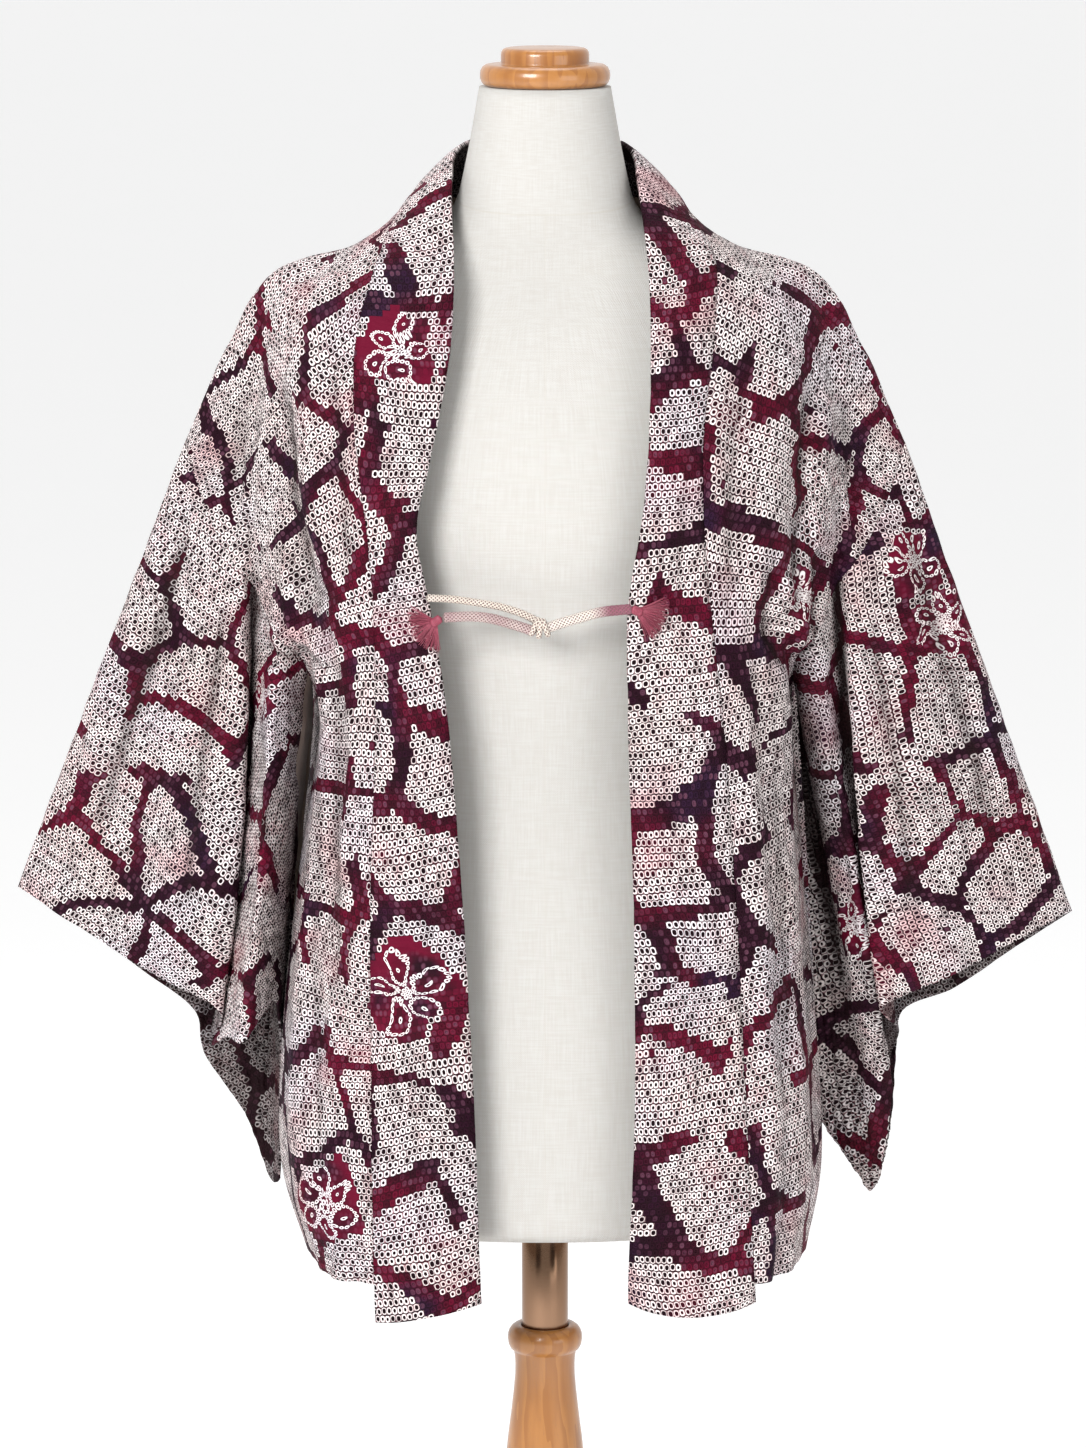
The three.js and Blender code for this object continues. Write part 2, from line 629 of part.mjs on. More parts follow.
// Sections of the padded body, from its base to the top of the neck: half its width, and its depth before
// and behind.
const FORM_RINGS = [
  { z: FORM_BOTTOM, half: 146, front: 96, back: 100 },
  { z: 663, half: 151, front: 101, back: 105 },
  { z: 715, half: 153, front: 102, back: 107 },
  { z: 770, half: 152, front: 102, back: 108 },
  { z: 830, half: 147, front: 99, back: 105 },
  { z: 900, half: 136, front: 93, back: 98 },
  { z: 970, half: 125, front: 88, back: 89 },
  { z: 1030, half: 128, front: 92, back: 87 },
  { z: 1085, half: 139, front: 101, back: 90 },
  { z: 1130, half: 148, front: 104, back: 93 },
  { z: 1180, half: 159, front: 98, back: 93 },
  { z: 1225, half: 168, front: 85, back: 86 },
  { z: 1260, half: 173, front: 70, back: 76 },
  { z: 1285, half: 170, front: 57, back: 62 },
  { z: 1301.2, half: 154, front: 50, back: 52 },
  { z: 1311.2, half: 126, front: 49, back: 51 },
  { z: 1320.5, half: 95, front: 49, back: 51 },
  { z: 1332, half: 72, front: 51, back: 53 },
  { z: 1350, half: 59, front: 52, back: 54 },
  { z: 1385, half: 51, front: 48, back: 50 },
  { z: NECK_TOP, half: 44, front: 43, back: 43 },
];
const FORM_ROUND = 36;
const FORM_SQUARENESS = 2.25; // 2 is an ellipse
const POLE_CLEARANCE = 0.3;
const SOCKET_DEPTH = 60; // how deep the pole stands in the column

function formSolid() {
  const z = along(FORM_RINGS.map((ring) => ring.z));
  const half = along(FORM_RINGS.map((ring) => ring.half));
  const front = along(FORM_RINGS.map((ring) => ring.front));
  const back = along(FORM_RINGS.map((ring) => ring.back));
  const numbers = [];
  const triangles = [];
  const rows = [...FORM_RINGS.keys()];
  const power = 2 / FORM_SQUARENESS;
  const round = (value) => Math.sign(value) * Math.abs(value) ** power;
  for (const row of rows)
    for (let j = 0; j < FORM_ROUND; j++) {
      const turn = (2 * Math.PI * j) / FORM_ROUND;
      const depth = Math.sin(turn) > 0 ? back(row) : front(row);
      numbers.push(half(row) * round(Math.cos(turn)), depth * round(Math.sin(turn)), z(row));
    }
  const bottom = numbers.length / 3;
  numbers.push(0, 0, FORM_BOTTOM, 0, 0, NECK_TOP);
  for (let j = 0; j < FORM_ROUND; j++) {
    const next = (j + 1) % FORM_ROUND;
    const top = (rows.length - 1) * FORM_ROUND;
    triangles.push(bottom, next, j, bottom + 1, top + j, top + next);
    for (let i = 0; i < rows.length - 1; i++) {
      const low = i * FORM_ROUND;
      const high = low + FORM_ROUND;
      triangles.push(low + j, low + next, high + next, low + j, high + next, high + j);
    }
  }
  return solidFrom(numbers, triangles);
}

/** A turned piece from its profile of [radius, height] points, which starts and ends on the axis. */
function turned(profile, sides) {
  const points = profile.map(([radius, height]) => new THREE.Vector2(radius, height));
  return solidOf(new THREE.LatheGeometry(points, sides).rotateX(Math.PI / 2));
}

/** The profile of a disc with rounded rims, between two heights. */
function roundedDisc(radius, low, high, rim, steps = 3) {
  const profile = [[0, low], [radius - rim * 0.5, low]];
  for (let i = 0; i <= steps; i++) {
    const turn = -Math.PI / 4 + ((Math.PI / 4 + Math.PI / 2) * i) / steps;
    profile.push([radius - rim + rim * Math.cos(turn), high - rim + rim * Math.sin(turn)]);
  }
  profile.push([0, high]);
  return profile;
}

function capSolid() {
  const low = NECK_TOP + SEAM_GAP;
  const ledge = low + CAP.ringHeight;
  const bead = CAP.ringHeight / 2;
  const profile = [[0, low], [CAP.ringRadius - bead * 0.6, low]];
  for (let i = -2; i <= 3; i++) {
    const turn = (i * Math.PI) / 6;
    profile.push([CAP.ringRadius - bead + bead * Math.cos(turn), low + bead + bead * Math.sin(turn)]);
  }
  profile.push([CAP.discRadius, ledge], [CAP.discRadius, ledge + CAP.discHeight * 0.6]);
  profile.push([CAP.discRadius - 1.2, ledge + CAP.discHeight * 0.88]);
  profile.push([CAP.discRadius - 4.2, ledge + CAP.discHeight]);
  profile.push([0, ledge + CAP.discHeight]);
  return turned(profile, 32);
}

// The turned column, from the foot up to the bead round the pole.
const COLUMN_PROFILE = [
  [28, FOOT.height + SEAM_GAP],
  [33, 38],
  [33, 50],
  [26, 60],
  [22, 90],
  [24, 150],
  [30, 250],
  [33.5, 340],
  [31, 430],
  [25.8, 490],
  [21.6, 525],
  [20.6, 543],
  [21.6, 553],
  [24.6, 556],
  [25.8, 561],
  [24.8, 566.5],
  [21.5, 570.4],
];

function columnSolid() {
  const low = [0, FOOT.height + SEAM_GAP];
  const column = turned([low, ...COLUMN_PROFILE, [18.5, COLUMN_TOP], [0, COLUMN_TOP]], 28);
  const bore = POLE_RADIUS + POLE_CLEARANCE;
  const socket = new THREE.CylinderGeometry(bore, bore, SOCKET_DEPTH + 1, 28);
  socket.rotateX(Math.PI / 2).translate(0, 0, COLUMN_TOP - (SOCKET_DEPTH - 1) / 2);
  return column.subtract(solidOf(socket));
}

function poleSolid() {
  const low = COLUMN_TOP - SOCKET_DEPTH + SEAM_GAP;
  const high = FORM_BOTTOM - SEAM_GAP;
  const tube = new THREE.CylinderGeometry(POLE_RADIUS, POLE_RADIUS, high - low, 28);
  return solidOf(tube.rotateX(Math.PI / 2).translate(0, 0, (low + high) / 2));
}

// ---- Assembly ----

const COLOURS = {
  silk: { color: 0xb9a3ab, roughness: 0.85, metalness: 0 },
  cream: { color: 0xe3cdb6, roughness: 0.7, metalness: 0 },
  mauve: { color: 0xa8577c, roughness: 0.75, metalness: 0 },
  linen: { color: 0xe9e5de, roughness: 0.9, metalness: 0 },
  wood: { color: 0xc4894f, roughness: 0.35, metalness: 0 },
  steel: { color: 0xb7b0a8, roughness: 0.18, metalness: 1 },
};

const jacket = new THREE.Group();

function addPiece(name, finish, solid) {
  const piece = new THREE.Mesh(geometryOf(solid), new THREE.MeshStandardMaterial(COLOURS[finish]));
  piece.name = name;
  jacket.add(piece);
}

const collar = collarSheet();
const collarCutter = wallOf(widerAtEnd(collar, SEAM_CUT), COLLAR_CLOTH + 2 * SEAM_CUT);
addPiece("collar", "silk", wallOf(collar, COLLAR_CLOTH));

for (const name of Object.keys(SIDES)) {
  const sleeve = sleeveSheet(name);
  const sleeveCutter = wallOf(longerAtStart(sleeve, SEAM_CUT), CLOTH + 2 * SEAM_CUT);
  addPiece("sleeve_" + name, "silk", wallOf(sleeve, CLOTH));
  const panel = cutBy(wallOf(bodySheet(name), CLOTH), [collarCutter, sleeveCutter]);
  addPiece("body_panel_" + name, "silk", panel);
  addPiece("gusset_" + name, "silk", wallOf(gussetSheet(name), CLOTH));
}

const knotCutter = knotSolid(SEAM_GAP);
for (const [name, cord] of Object.entries(CORDS))
  addPiece(name, name === "cord_right_upper" ? "cream" : "mauve", cutBy(cordSolid(cord), [knotCutter]));
addPiece("cord_knot", "cream", knotSolid());
for (const [name, tassel] of Object.entries(TASSELS)) addPiece(name, "mauve", tasselSolid(tassel));

addPiece("form_torso", "linen", formSolid());
addPiece("neck_cap", "wood", capSolid());
addPiece("stand_pole", "steel", poleSolid());
addPiece("stand_column", "wood", columnSolid());
addPiece("stand_foot", "wood", turned(roundedDisc(FOOT.radius, 0, FOOT.height, 10), 44));

export default jacket;
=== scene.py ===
"""A haori, the short kimono jacket, of tie-dyed silk, open on a limbless dress form.

Tables are in millimetres, +Z up, front facing -Y; meshes are in metres. Right and left are the wearer's.
"""

import math

import bmesh
import bpy
import numpy as np
from bpy.props import FloatProperty, FloatVectorProperty, PointerProperty
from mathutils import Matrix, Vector


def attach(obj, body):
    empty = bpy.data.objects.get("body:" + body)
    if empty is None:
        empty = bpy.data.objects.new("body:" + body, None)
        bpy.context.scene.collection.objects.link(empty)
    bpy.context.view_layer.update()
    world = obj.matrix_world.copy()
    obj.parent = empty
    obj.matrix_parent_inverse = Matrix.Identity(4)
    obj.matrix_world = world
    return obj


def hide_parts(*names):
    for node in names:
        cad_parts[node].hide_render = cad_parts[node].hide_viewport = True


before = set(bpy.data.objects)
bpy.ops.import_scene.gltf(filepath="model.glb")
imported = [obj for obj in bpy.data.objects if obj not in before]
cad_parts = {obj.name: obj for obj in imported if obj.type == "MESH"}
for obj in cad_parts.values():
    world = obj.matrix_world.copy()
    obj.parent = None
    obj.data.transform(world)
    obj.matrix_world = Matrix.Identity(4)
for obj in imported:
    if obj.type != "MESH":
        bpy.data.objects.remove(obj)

bl_info = {
    "name": "Haori on a dress form",
    "version": (1, 0, 0),
    "blender": (4, 5, 0),
    "location": "View3D > Sidebar > Haori",
    "description": "Builds a tie-dyed silk haori on a linen dress form with a turned wooden stand",
    "category": "Add Mesh",
}

MM = 0.001
TURN = 2 * math.pi
SIDES = {"right": -1, "left": 1}

# ---- Sleeves: one row per fold, round the tube from the top fold, down the front and up the back ----

# fold, armhole end [out, y, z], cuff end [out, y, z], how far the middle bows along y and sways outwards
SLEEVE_FOLDS = {
    "right": (
        ("top", (242, 0, 1186), (359.6, 0, 880), 0, 0),
        ("wing_upper", (231, -16, 1152), (318, -20, 857), -10, 0),
        ("wing_middle", (216, -30, 1120), (270, -34, 829), -14, 0),
        ("wing_inner", (204, -38, 1103), (221, -46, 803), -10, -8),
        ("valley", (196, -30, 1093), (229, -22, 774), 2, -7),
        ("roll_outer", (188, -42, 1079), (215, -48, 786), -6, -4),
        ("roll_front", (178, -64, 1063), (203, -72, 788), -8, 0),
        ("roll_inner", (162, -48, 1045), (184, -44, 811), 0, 2),
        ("turn", (158, -10, 1002), (182, -12, 716), 2, 5),
        ("bottom_front", (182, 6, 812), (184, -6, 675), 0, 0),
        ("bottom_back", (186, 20, 816), (189, 7, 673), 0, 0),
        ("back_inner", (177, 34, 930), (207, 18, 716), 6, 0),
        ("back_armpit", (170, 44, 1047), (236, 29, 758), 16, 0),
        ("back_corner", (182, 46, 1074), (241, 32, 784), 18, 0),
        ("back_wing", (206, 38, 1108), (281, 31, 817), 16, 0),
        ("back_upper", (228, 20, 1150), (322, 19, 852), 10, 0),
    ),
    "left": (
        ("top", (242, 0, 1186), (359.6, 0, 863), 0, 0),
        ("wing_upper", (231, -16, 1152), (318, -22, 846), -10, 0),
        ("wing_middle", (215, -30, 1120), (272, -36, 824), -14, 0),
        ("wing_inner", (204, -38, 1105), (228, -46, 806), -10, -5),
        ("valley", (196, -30, 1094), (241, -28, 786), 0, -4),
        ("roll_outer", (189, -42, 1081), (236, -20, 766), 0, -4),
        ("roll_front", (180, -60, 1063), (237, -21, 736), 0, 0),
        ("roll_inner", (167, -48, 1045), (233, -19, 700), 6, 0),
        ("turn", (171.5, -10, 1010), (228, -15, 676), 2, 0),
        ("bottom_front", (190, 2, 717), (224, -7, 668), 0, 0),
        ("bottom_back", (190, 15, 719), (229, 6, 669), 0, 0),
        ("back_inner", (182, 32, 900), (238, 12, 706), 8, 0),
        ("back_armpit", (176, 44, 1047), (243, 26, 762), 16, 0),
        ("back_corner", (184, 46, 1074), (247, 31, 786), 18, 0),
        ("back_wing", (206, 38, 1108), (282, 31, 802), 16, 0),
        ("back_upper", (228, 20, 1150), (322, 22, 832), 10, 0),
    ),
}

# ---- Collar: one row per station from the hem to the nape ----

# place, free edge [out, y, z], seam edge [out, y, z]
COLLAR_STATIONS = {
    "right": (
        ("end", (43, -128, 622), (113, -125, 608)),
        ("hem", (44, -128, 648), (114, -124, 634)),
        ("thigh", (47, -127, 743), (115, -122, 743)),
        ("hip", (55, -126, 896), (115, -120, 896)),
        ("waist", (65, -126, 1022), (111, -119, 1022)),
        ("cord", (76, -125, 1094), (112, -118, 1090)),
        ("bust", (85, -122, 1143), (116, -116, 1140)),
        ("chest", (75, -114, 1192), (124, -106, 1205)),
        ("collarbone", (63, -96, 1255), (124, -84, 1262)),
        ("throat", (60, -74, 1310), (112, -58, 1308)),
        ("neck_front", (62, -28, 1359), (98, -14, 1340)),
        ("neck_back", (58, 18, 1382), (84, 30, 1348)),
        ("nape_side", (36, 54, 1387), (50, 69, 1345)),
        ("nape", (0, 66, 1389), (0, 84, 1342)),
    ),
    "left": (
        ("end", (56, -128, 622), (141, -125, 622)),
        ("hem", (56, -128, 640), (140, -124, 634)),
        ("thigh", (60, -127, 743), (134, -122, 743)),
        ("hip", (59, -126, 890), (126, -120, 890)),
        ("waist", (55, -125, 1022), (116, -118, 1024)),
        ("cord", (55, -124, 1092), (108, -117, 1092)),
        ("bust", (65, -121, 1158), (103, -114, 1156)),
        ("chest", (69, -112, 1210), (103, -105, 1205)),
        ("collarbone", (70, -93, 1262), (110, -84, 1262)),
        ("throat", (68, -72, 1310), (112, -56, 1311)),
        ("neck_front", (62, -28, 1359), (98, -14, 1338)),
        ("neck_back", (57, 18, 1382), (84, 30, 1348)),
        ("nape_side", (36, 54, 1387), (50, 69, 1345)),
        ("nape", (0, 66, 1389), (0, 84, 1342)),
    ),
}
NAPE = len(COLLAR_STATIONS["right"]) - 1
COLLAR_ROUNDING = 5
COLLAR_DIP = {"right": 2, "left": 9}

# ---- Body: one row per line across a panel, front hem to back hem ----

# row, station on the collar or centre-back point, middle [y, z], ridge [out, y, z], outer edge [out, y, z]
# or fold of the sleeve, extra width of the left side, valley, bow, share of the middle point
BODY_ROWS = (
    ("front_hem", 1, (-117, 634), (149, -92, 634), (162, -34, 634), 16, 0, 0, 0.55),
    ("front_low", 1.55, (-116, 696), (166, -91, 694), (179, -33, 693), 9, 0, 0, 0.55),
    ("front_hip", 2.35, (-114, 792), (168, -87, 790), (178, -29, 790), 6, 0, 0, 0.55),
    ("front_side", 3.1, (-112, 905), (158, -86, 902), (166, -22, 900), 8, 0, 0, 0.55),
    ("front_waist", 4, (-111, 1018), (148, -84, 1012), (152, -16, 1004), 14, 0, 0, 0.55),
    ("front_armpit", 5, (-110, 1082), (155, -82, 1058), 7, 4, 0, 0, 0.55),
    ("front_bust", 6, (-106, 1130), (171, -72, 1112), 5, 0, 2, 2, 0.55),
    ("front_chest", 7, (-94, 1196), (181, -54, 1180), 3, 0, 12, 6, 0.55),
    ("front_yoke", 8, (-74, 1250), (183, -38, 1236), 2, 0, 14, 2, 0.55),
    ("front_top", 9, (-42, 1296), (182, -21, 1279), 1, 0, 4, 4, 0.55),
    ("shoulder", 10, (0, 1320), (182, 2, 1300), 0, 0, 0, 5, 0.32),
    ("back_top", 11, (40, 1302), (182, 26, 1279), -1, 0, -4, 3, 0.4),
    ("back_yoke", 12, (72, 1272), (182, 42, 1230), -2, 0, -10, 2, 0.55),
    ("back_neck", 13, (94, 1246), (180, 62, 1176), -3, 0, -6, 2, 0.55),
    ("back_armpit", (0, 107, 1240), (108, 1172), (171, 84, 1100), -4, 0, 0, 0, 0.55),
    ("back_waist", (0, 114, 1080), (112, 1050), (166, 84, 1016), (152, 20, 1004), 12, 0, 0, 0.55),
    ("back_side", (0, 118, 905), (114, 902), (174, 90, 900), (166, 27, 900), 8, 0, 0, 0.55),
    ("back_hip", (0, 120, 790), (115, 790), (180, 91, 790), (178, 34, 790), 6, 0, 0, 0.55),
    ("back_low", (0, 121, 694), (116, 694), (167, 92, 694), (179, 36, 693), 9, 0, 0, 0.55),
    ("back_hem", (0, 122, 634), (118, 634), (152, 93, 634), (162, 36, 634), 16, 0, 0, 0.55),
)
LAST_ROW = len(BODY_ROWS) - 1
ARMHOLE_ROWS = (5, 14)
NECK_ROW = 13
CENTRE_GAP = 0.28
FOLD_FADE = 1.4
# fold, place across, lean, first row, last row, depth, width
BODY_FOLDS = {
    "right": (
        ("collar_side", 0.15, 0, 0, 5.5, 3, 0.08),
        ("bust_to_hip", 0.34, 0.01, 0.5, 7.5, 6, 0.1),
        ("back_drape", 0.35, -0.02, 13.2, 19, 7, 0.11),
        ("back_side", 0.7, 0, 14.4, 19, 4, 0.1),
    ),
    "left": (
        ("shoulder_drape", 0.3, -0.03, 3.5, 9, 6, 0.1),
        ("bust_to_hem", 0.34, -0.01, 0, 5, 6, 0.1),
        ("back_drape", 0.4, 0.02, 13.2, 19, 7, 0.11),
        ("back_side", 0.72, 0, 14.4, 19, 4, 0.1),
    ),
}
GUSSET_TOP_ROW = 4.5
GUSSET_HOLLOW = 3
GUSSET_EASE = 0.95

# how wide and long the pieces are about, to share out the mesh steps
SLEEVE_WIDTH = 330
COLLAR_WIDTH = 66
PANEL_WIDTH = 176
GUSSET_WIDTH = 60
GUSSET_LENGTH = 390

# ---- Curves ----


def smooth(t):
    t = np.clip(t, 0, 1)
    return t * t * (3 - 2 * t)


def curve(points, at, closed=False):
    """A smooth curve through the points; at counts them, so 2.5 is halfway from the third to the fourth."""
    points = np.asarray(points, float)
    at = np.atleast_1d(np.asarray(at, float))
    count = len(points)
    spans = count if closed else count - 1
    at = np.mod(at, count) if closed else np.clip(at, 0, spans)
    first = np.minimum(np.floor(at).astype(int), spans - 1)
    t = (at - first)[:, None]

    def pick(step):
        spot = first + step
        if closed:
            return points[spot % count]
        inside = points[np.clip(spot, 0, count - 1)]
        inside = np.where((spot < 0)[:, None], 2 * points[0] - points[1], inside)
        return np.where((spot > count - 1)[:, None], 2 * points[-1] - points[-2], inside)

    p0, p1, p2, p3 = (pick(step) for step in (-1, 0, 1, 2))
    d0, d1, d2 = (
        np.sqrt(np.linalg.norm(b - a, axis=1))[:, None] for a, b in ((p0, p1), (p1, p2), (p2, p3))
    )
    d1 = np.where(d1 < 1e-4, 1, d1)
    d0 = np.where(d0 < 1e-4, d1, d0)
    d2 = np.where(d2 < 1e-4, d1, d2)
    m1 = ((p1 - p0) / d0 - (p2 - p0) / (d0 + d1) + (p2 - p1) / d1) * d1
    m2 = ((p2 - p1) / d1 - (p3 - p1) / (d1 + d2) + (p3 - p2) / d2) * d1
    return p1 + m1 * t + (3 * (p2 - p1) - 2 * m1 - m2) * t**2 + (2 * (p1 - p2) + m1 + m2) * t**3


def along(values, at):
    """A smooth run of single numbers, one for each row of a table."""
    return curve([(row, value, 0) for row, value in enumerate(values)], at)[:, 1]


def mirrored(side, points):
    return np.asarray(points, float) * (SIDES[side], 1, 1)


def evenly(line, pitch, scale):
    """Values of a parameter from 0 to scale that step along a line of points by about pitch."""
    lengths = np.concatenate(([0], np.cumsum(np.linalg.norm(np.diff(line, axis=0), axis=1))))
    steps = max(2, round(lengths[-1] / pitch))
    return np.interp(np.linspace(0, lengths[-1], steps + 1), lengths, np.linspace(0, scale, len(line)))


def travelled(grid, axis):
    """How far each point of a grid lies along an axis of it, on the cloth."""
    steps = np.linalg.norm(np.diff(grid, axis=axis), axis=2)
    start = np.zeros_like(np.take(steps, [0], axis=axis))
    return np.concatenate((start, np.cumsum(steps, axis=axis)), axis=axis)


# ---- Sheets: each gives a grid of points and the cloth's own coordinates there ----


def sleeve_ring(side, share):
    """The fold points of a sleeve at a share of its width, 0 at the armhole and 1 at the cuff."""
    halfway = 4 * share * (1 - share)
    points = []
    for _, seam, cuff, belly, sway in SLEEVE_FOLDS[side]:
        point = np.asarray(seam) * (1 - share) + np.asarray(cuff) * share
        points.append(point + (sway * halfway, belly * halfway, 0))
    return mirrored(side, points)


def sleeve_grid(side, pitch):
    folds = len(SLEEVE_FOLDS[side])
    wide = curve(sleeve_ring(side, 0.7), np.linspace(0, folds, 40 * folds + 1), True)
    round_it = evenly(wide, pitch, folds)[:-1]
    shares = np.linspace(0, 1, round(SLEEVE_WIDTH / pitch) + 1)
    grid = np.array([curve(sleeve_ring(side, share), round_it, True) for share in shares])
    closed = np.concatenate((grid, grid[:, :1]), axis=1)
    return grid, travelled(closed, 1)[:, :-1], travelled(grid, 0), round_it


def laid_flat(grid, cut=None):
    """The cloth's own coordinates, with as little stretch as a flat sheet allows.

    A tube is cut open at a column, and the coordinates along the far side of the cut are given too.
    """
    columns = grid.shape[1]
    order = np.arange(columns) if cut is None else (np.arange(columns + 1) + cut) % columns
    sheet = grid[:, order]
    rough = [np.unique(np.append(np.arange(0, count, 2), count - 1)) for count in sheet.shape[:2]]
    coarse = sheet[np.ix_(*rough)]
    rows, across = coarse.shape[:2]
    quads, _, _ = grid_quads(rows, across)
    piece = make_object("flat", coarse.reshape(-1, 3), quads.tolist(), [], uvs=np.zeros((rows * across, 2)))
    bpy.ops.object.select_all(action="DESELECT")
    piece.select_set(True)
    bpy.context.view_layer.objects.active = piece
    bpy.ops.object.mode_set(mode="EDIT")
    bpy.ops.mesh.select_all(action="SELECT")
    bpy.ops.uv.unwrap(method="MINIMUM_STRETCH", margin=0.0)
    bpy.ops.object.mode_set(mode="OBJECT")
    loops = np.empty(len(piece.data.loops), dtype=np.int64)
    piece.data.loops.foreach_get("vertex_index", loops)
    read = np.empty(2 * len(loops))
    piece.data.uv_layers["cloth"].data.foreach_get("uv", read)
    flat = np.zeros((rows * across, 2))
    flat[loops] = read.reshape(-1, 2)
    bpy.data.objects.remove(piece)
    # turned, mirrored and scaled to lie along the piece's own length and width
    wanted = np.stack((travelled(coarse, 1), travelled(coarse, 0)), axis=2).reshape(-1, 2)
    flat, wanted = flat - flat.mean(axis=0), wanted - wanted.mean(axis=0)
    left, sizes, right = np.linalg.svd(flat.T @ wanted)
    flat = (flat @ left @ right * (sizes.sum() / np.sum(flat**2))).reshape(rows, across, 2)
    full = [np.arange(count) for count in sheet.shape[:2]]
    flat = np.stack([[np.interp(full[0], rough[0], flat[:, c, k]) for c in range(across)] for k in (0, 1)])
    flat = np.stack([[np.interp(full[1], rough[1], flat[k, :, r]) for r in full[0]] for k in (0, 1)])
    if cut is None:
        return flat[0], flat[1], None
    back = np.argsort(order[:-1])
    return flat[0][:, back], flat[1][:, back], (cut, flat[:, :, -1])


def collar_edge(side, edge):
    return mirrored(side, [row[edge] for row in COLLAR_STATIONS[side]])


def collar_grid(pitch):
    halves = []
    for side in SIDES:
        free, seam = collar_edge(side, 1), collar_edge(side, 2)
        stations = evenly(curve(free, np.linspace(0, NAPE, 800)), pitch, NAPE)
        a, b = curve(free, stations), curve(seam, stations)
        middle = (a + b) / 2
        away = middle * (1, 1, 0)
        away /= np.linalg.norm(away, axis=1)[:, None]
        turn = smooth((stations - 8) / 2)[:, None]
        upright = (1 - turn) * np.array((0, -1, 0)) + turn * away
        dip = COLLAR_DIP[side] * np.clip(1 - stations / 2, 0, 1)
        share = np.linspace(0, 1, round(COLLAR_WIDTH / pitch) + 1)
        bow = 4 * share * (1 - share)
        grid = a[:, None] * (1 - share)[None, :, None] + b[:, None] * share[None, :, None]
        # flat over most of its width, and rounded at both long edges where the cloth turns
        round_edges = 0.55 * bow + 0.45 * (1 - np.abs(2 * share - 1) ** 5)
        grid = grid + upright[:, None] * (COLLAR_ROUNDING * round_edges)[None, :, None]
        grid[:, :, 2] -= dip[:, None] * bow[None, :]
        halves.append(grid)
    grid = np.concatenate((halves[0], halves[1][:-1][::-1]))
    across = travelled(grid, 1)
    length = np.repeat(travelled(grid, 0)[:, grid.shape[1] // 2][:, None], grid.shape[1], axis=1)
    return grid, across, length


def troughs(side, rows, share):
    total = np.zeros((len(rows), len(share)))
    for _, across, lean, first, last, depth, width in BODY_FOLDS[side]:
        start = smooth((rows - first) / FOLD_FADE) if first > 0 else 1
        end = smooth((last - rows) / FOLD_FADE) if last < LAST_ROW else 1
        off = (share[None, :] - across - lean * (rows - first)[:, None]) / width
        total += (depth * start * end * np.ones_like(rows))[:, None] * np.exp(-off * off)
    return total


def body_lines(side, rows):
    """The five points that each row of a body panel passes through."""
    rows = np.asarray(rows, float)
    sign = SIDES[side]
    hole_start, hole_end = ARMHOLE_ROWS
    seam = collar_edge(side, 2)
    ring = sleeve_ring(side, 0)

    def out(row, point):
        extra = row[5] if side == "left" else 0
        return (np.asarray(point, float) + (extra, 0, 0)) * (sign, 1, 1)

    def run(number_of):
        return along([number_of(row) for row in BODY_ROWS], rows)

    station = along([row[1] for row in BODY_ROWS[: NECK_ROW + 1]], np.minimum(rows, NECK_ROW))
    centre = [row[1] if isinstance(row[1], tuple) else seam[-1] for row in BODY_ROWS[NECK_ROW:]]
    back = curve(mirrored(side, centre), rows - NECK_ROW)
    inner = np.where((rows <= NECK_ROW)[:, None], curve(seam, station), back)
    inner[:, 0] += sign * CENTRE_GAP
    turn = curve([out(row, row[3]) for row in BODY_ROWS], rows)
    # the outer edge runs free to the armhole, follows the sleeve round it, and runs free to the back hem
    edges = [
        out(row, row[4]) if isinstance(row[4], tuple) else curve(ring, row[4] % len(ring), True)[0]
        for row in BODY_ROWS
    ]
    holes = [row[4] for row in BODY_ROWS[hole_start : hole_end + 1]]
    hole = np.interp(rows - hole_start, range(len(holes)), holes)
    edge = curve(ring, np.mod(hole, len(ring)), True)
    edge = np.where((rows > hole_end)[:, None], curve(edges[hole_end:], rows - hole_end), edge)
    edge = np.where((rows < hole_start)[:, None], curve(edges[: hole_start + 1], rows), edge)
    share = run(lambda row: row[8])[:, None]
    middle = inner * (1 - share) + turn * share
    middle[:, 1], middle[:, 2] = run(lambda row: row[2][0]), run(lambda row: row[2][1])
    dip = turn * 0.55 + edge * 0.45
    dip[:, 0] += sign * run(lambda row: row[7])
    dip[:, 1] += run(lambda row: row[6])
    return np.stack((inner, middle, turn, dip, edge), axis=1)


def body_grid(side, pitch):
    ridge = body_lines(side, np.linspace(0, LAST_ROW, 900))[:, 2]
    rows = evenly(ridge, pitch, LAST_ROW)
    columns = np.linspace(0, 4, round(PANEL_WIDTH / pitch) + 1)
    grid = np.array([curve(points, columns) for points in body_lines(side, rows)])
    share = columns / 4
    inwards = -sheet_normals(grid, False)
    free = smooth(share / 0.12) * smooth((1 - share) / 0.12)
    grid = grid + inwards * (free[None, :] * troughs(side, rows, share))[:, :, None]
    u = travelled(grid, 1) + np.abs(grid[:, :1, 0])
    v = travelled(grid, 0)
    shoulder = int(np.argmax(grid[:, len(columns) // 2, 2]))
    return grid, u, v - v[shoulder] + v[shoulder, 0]


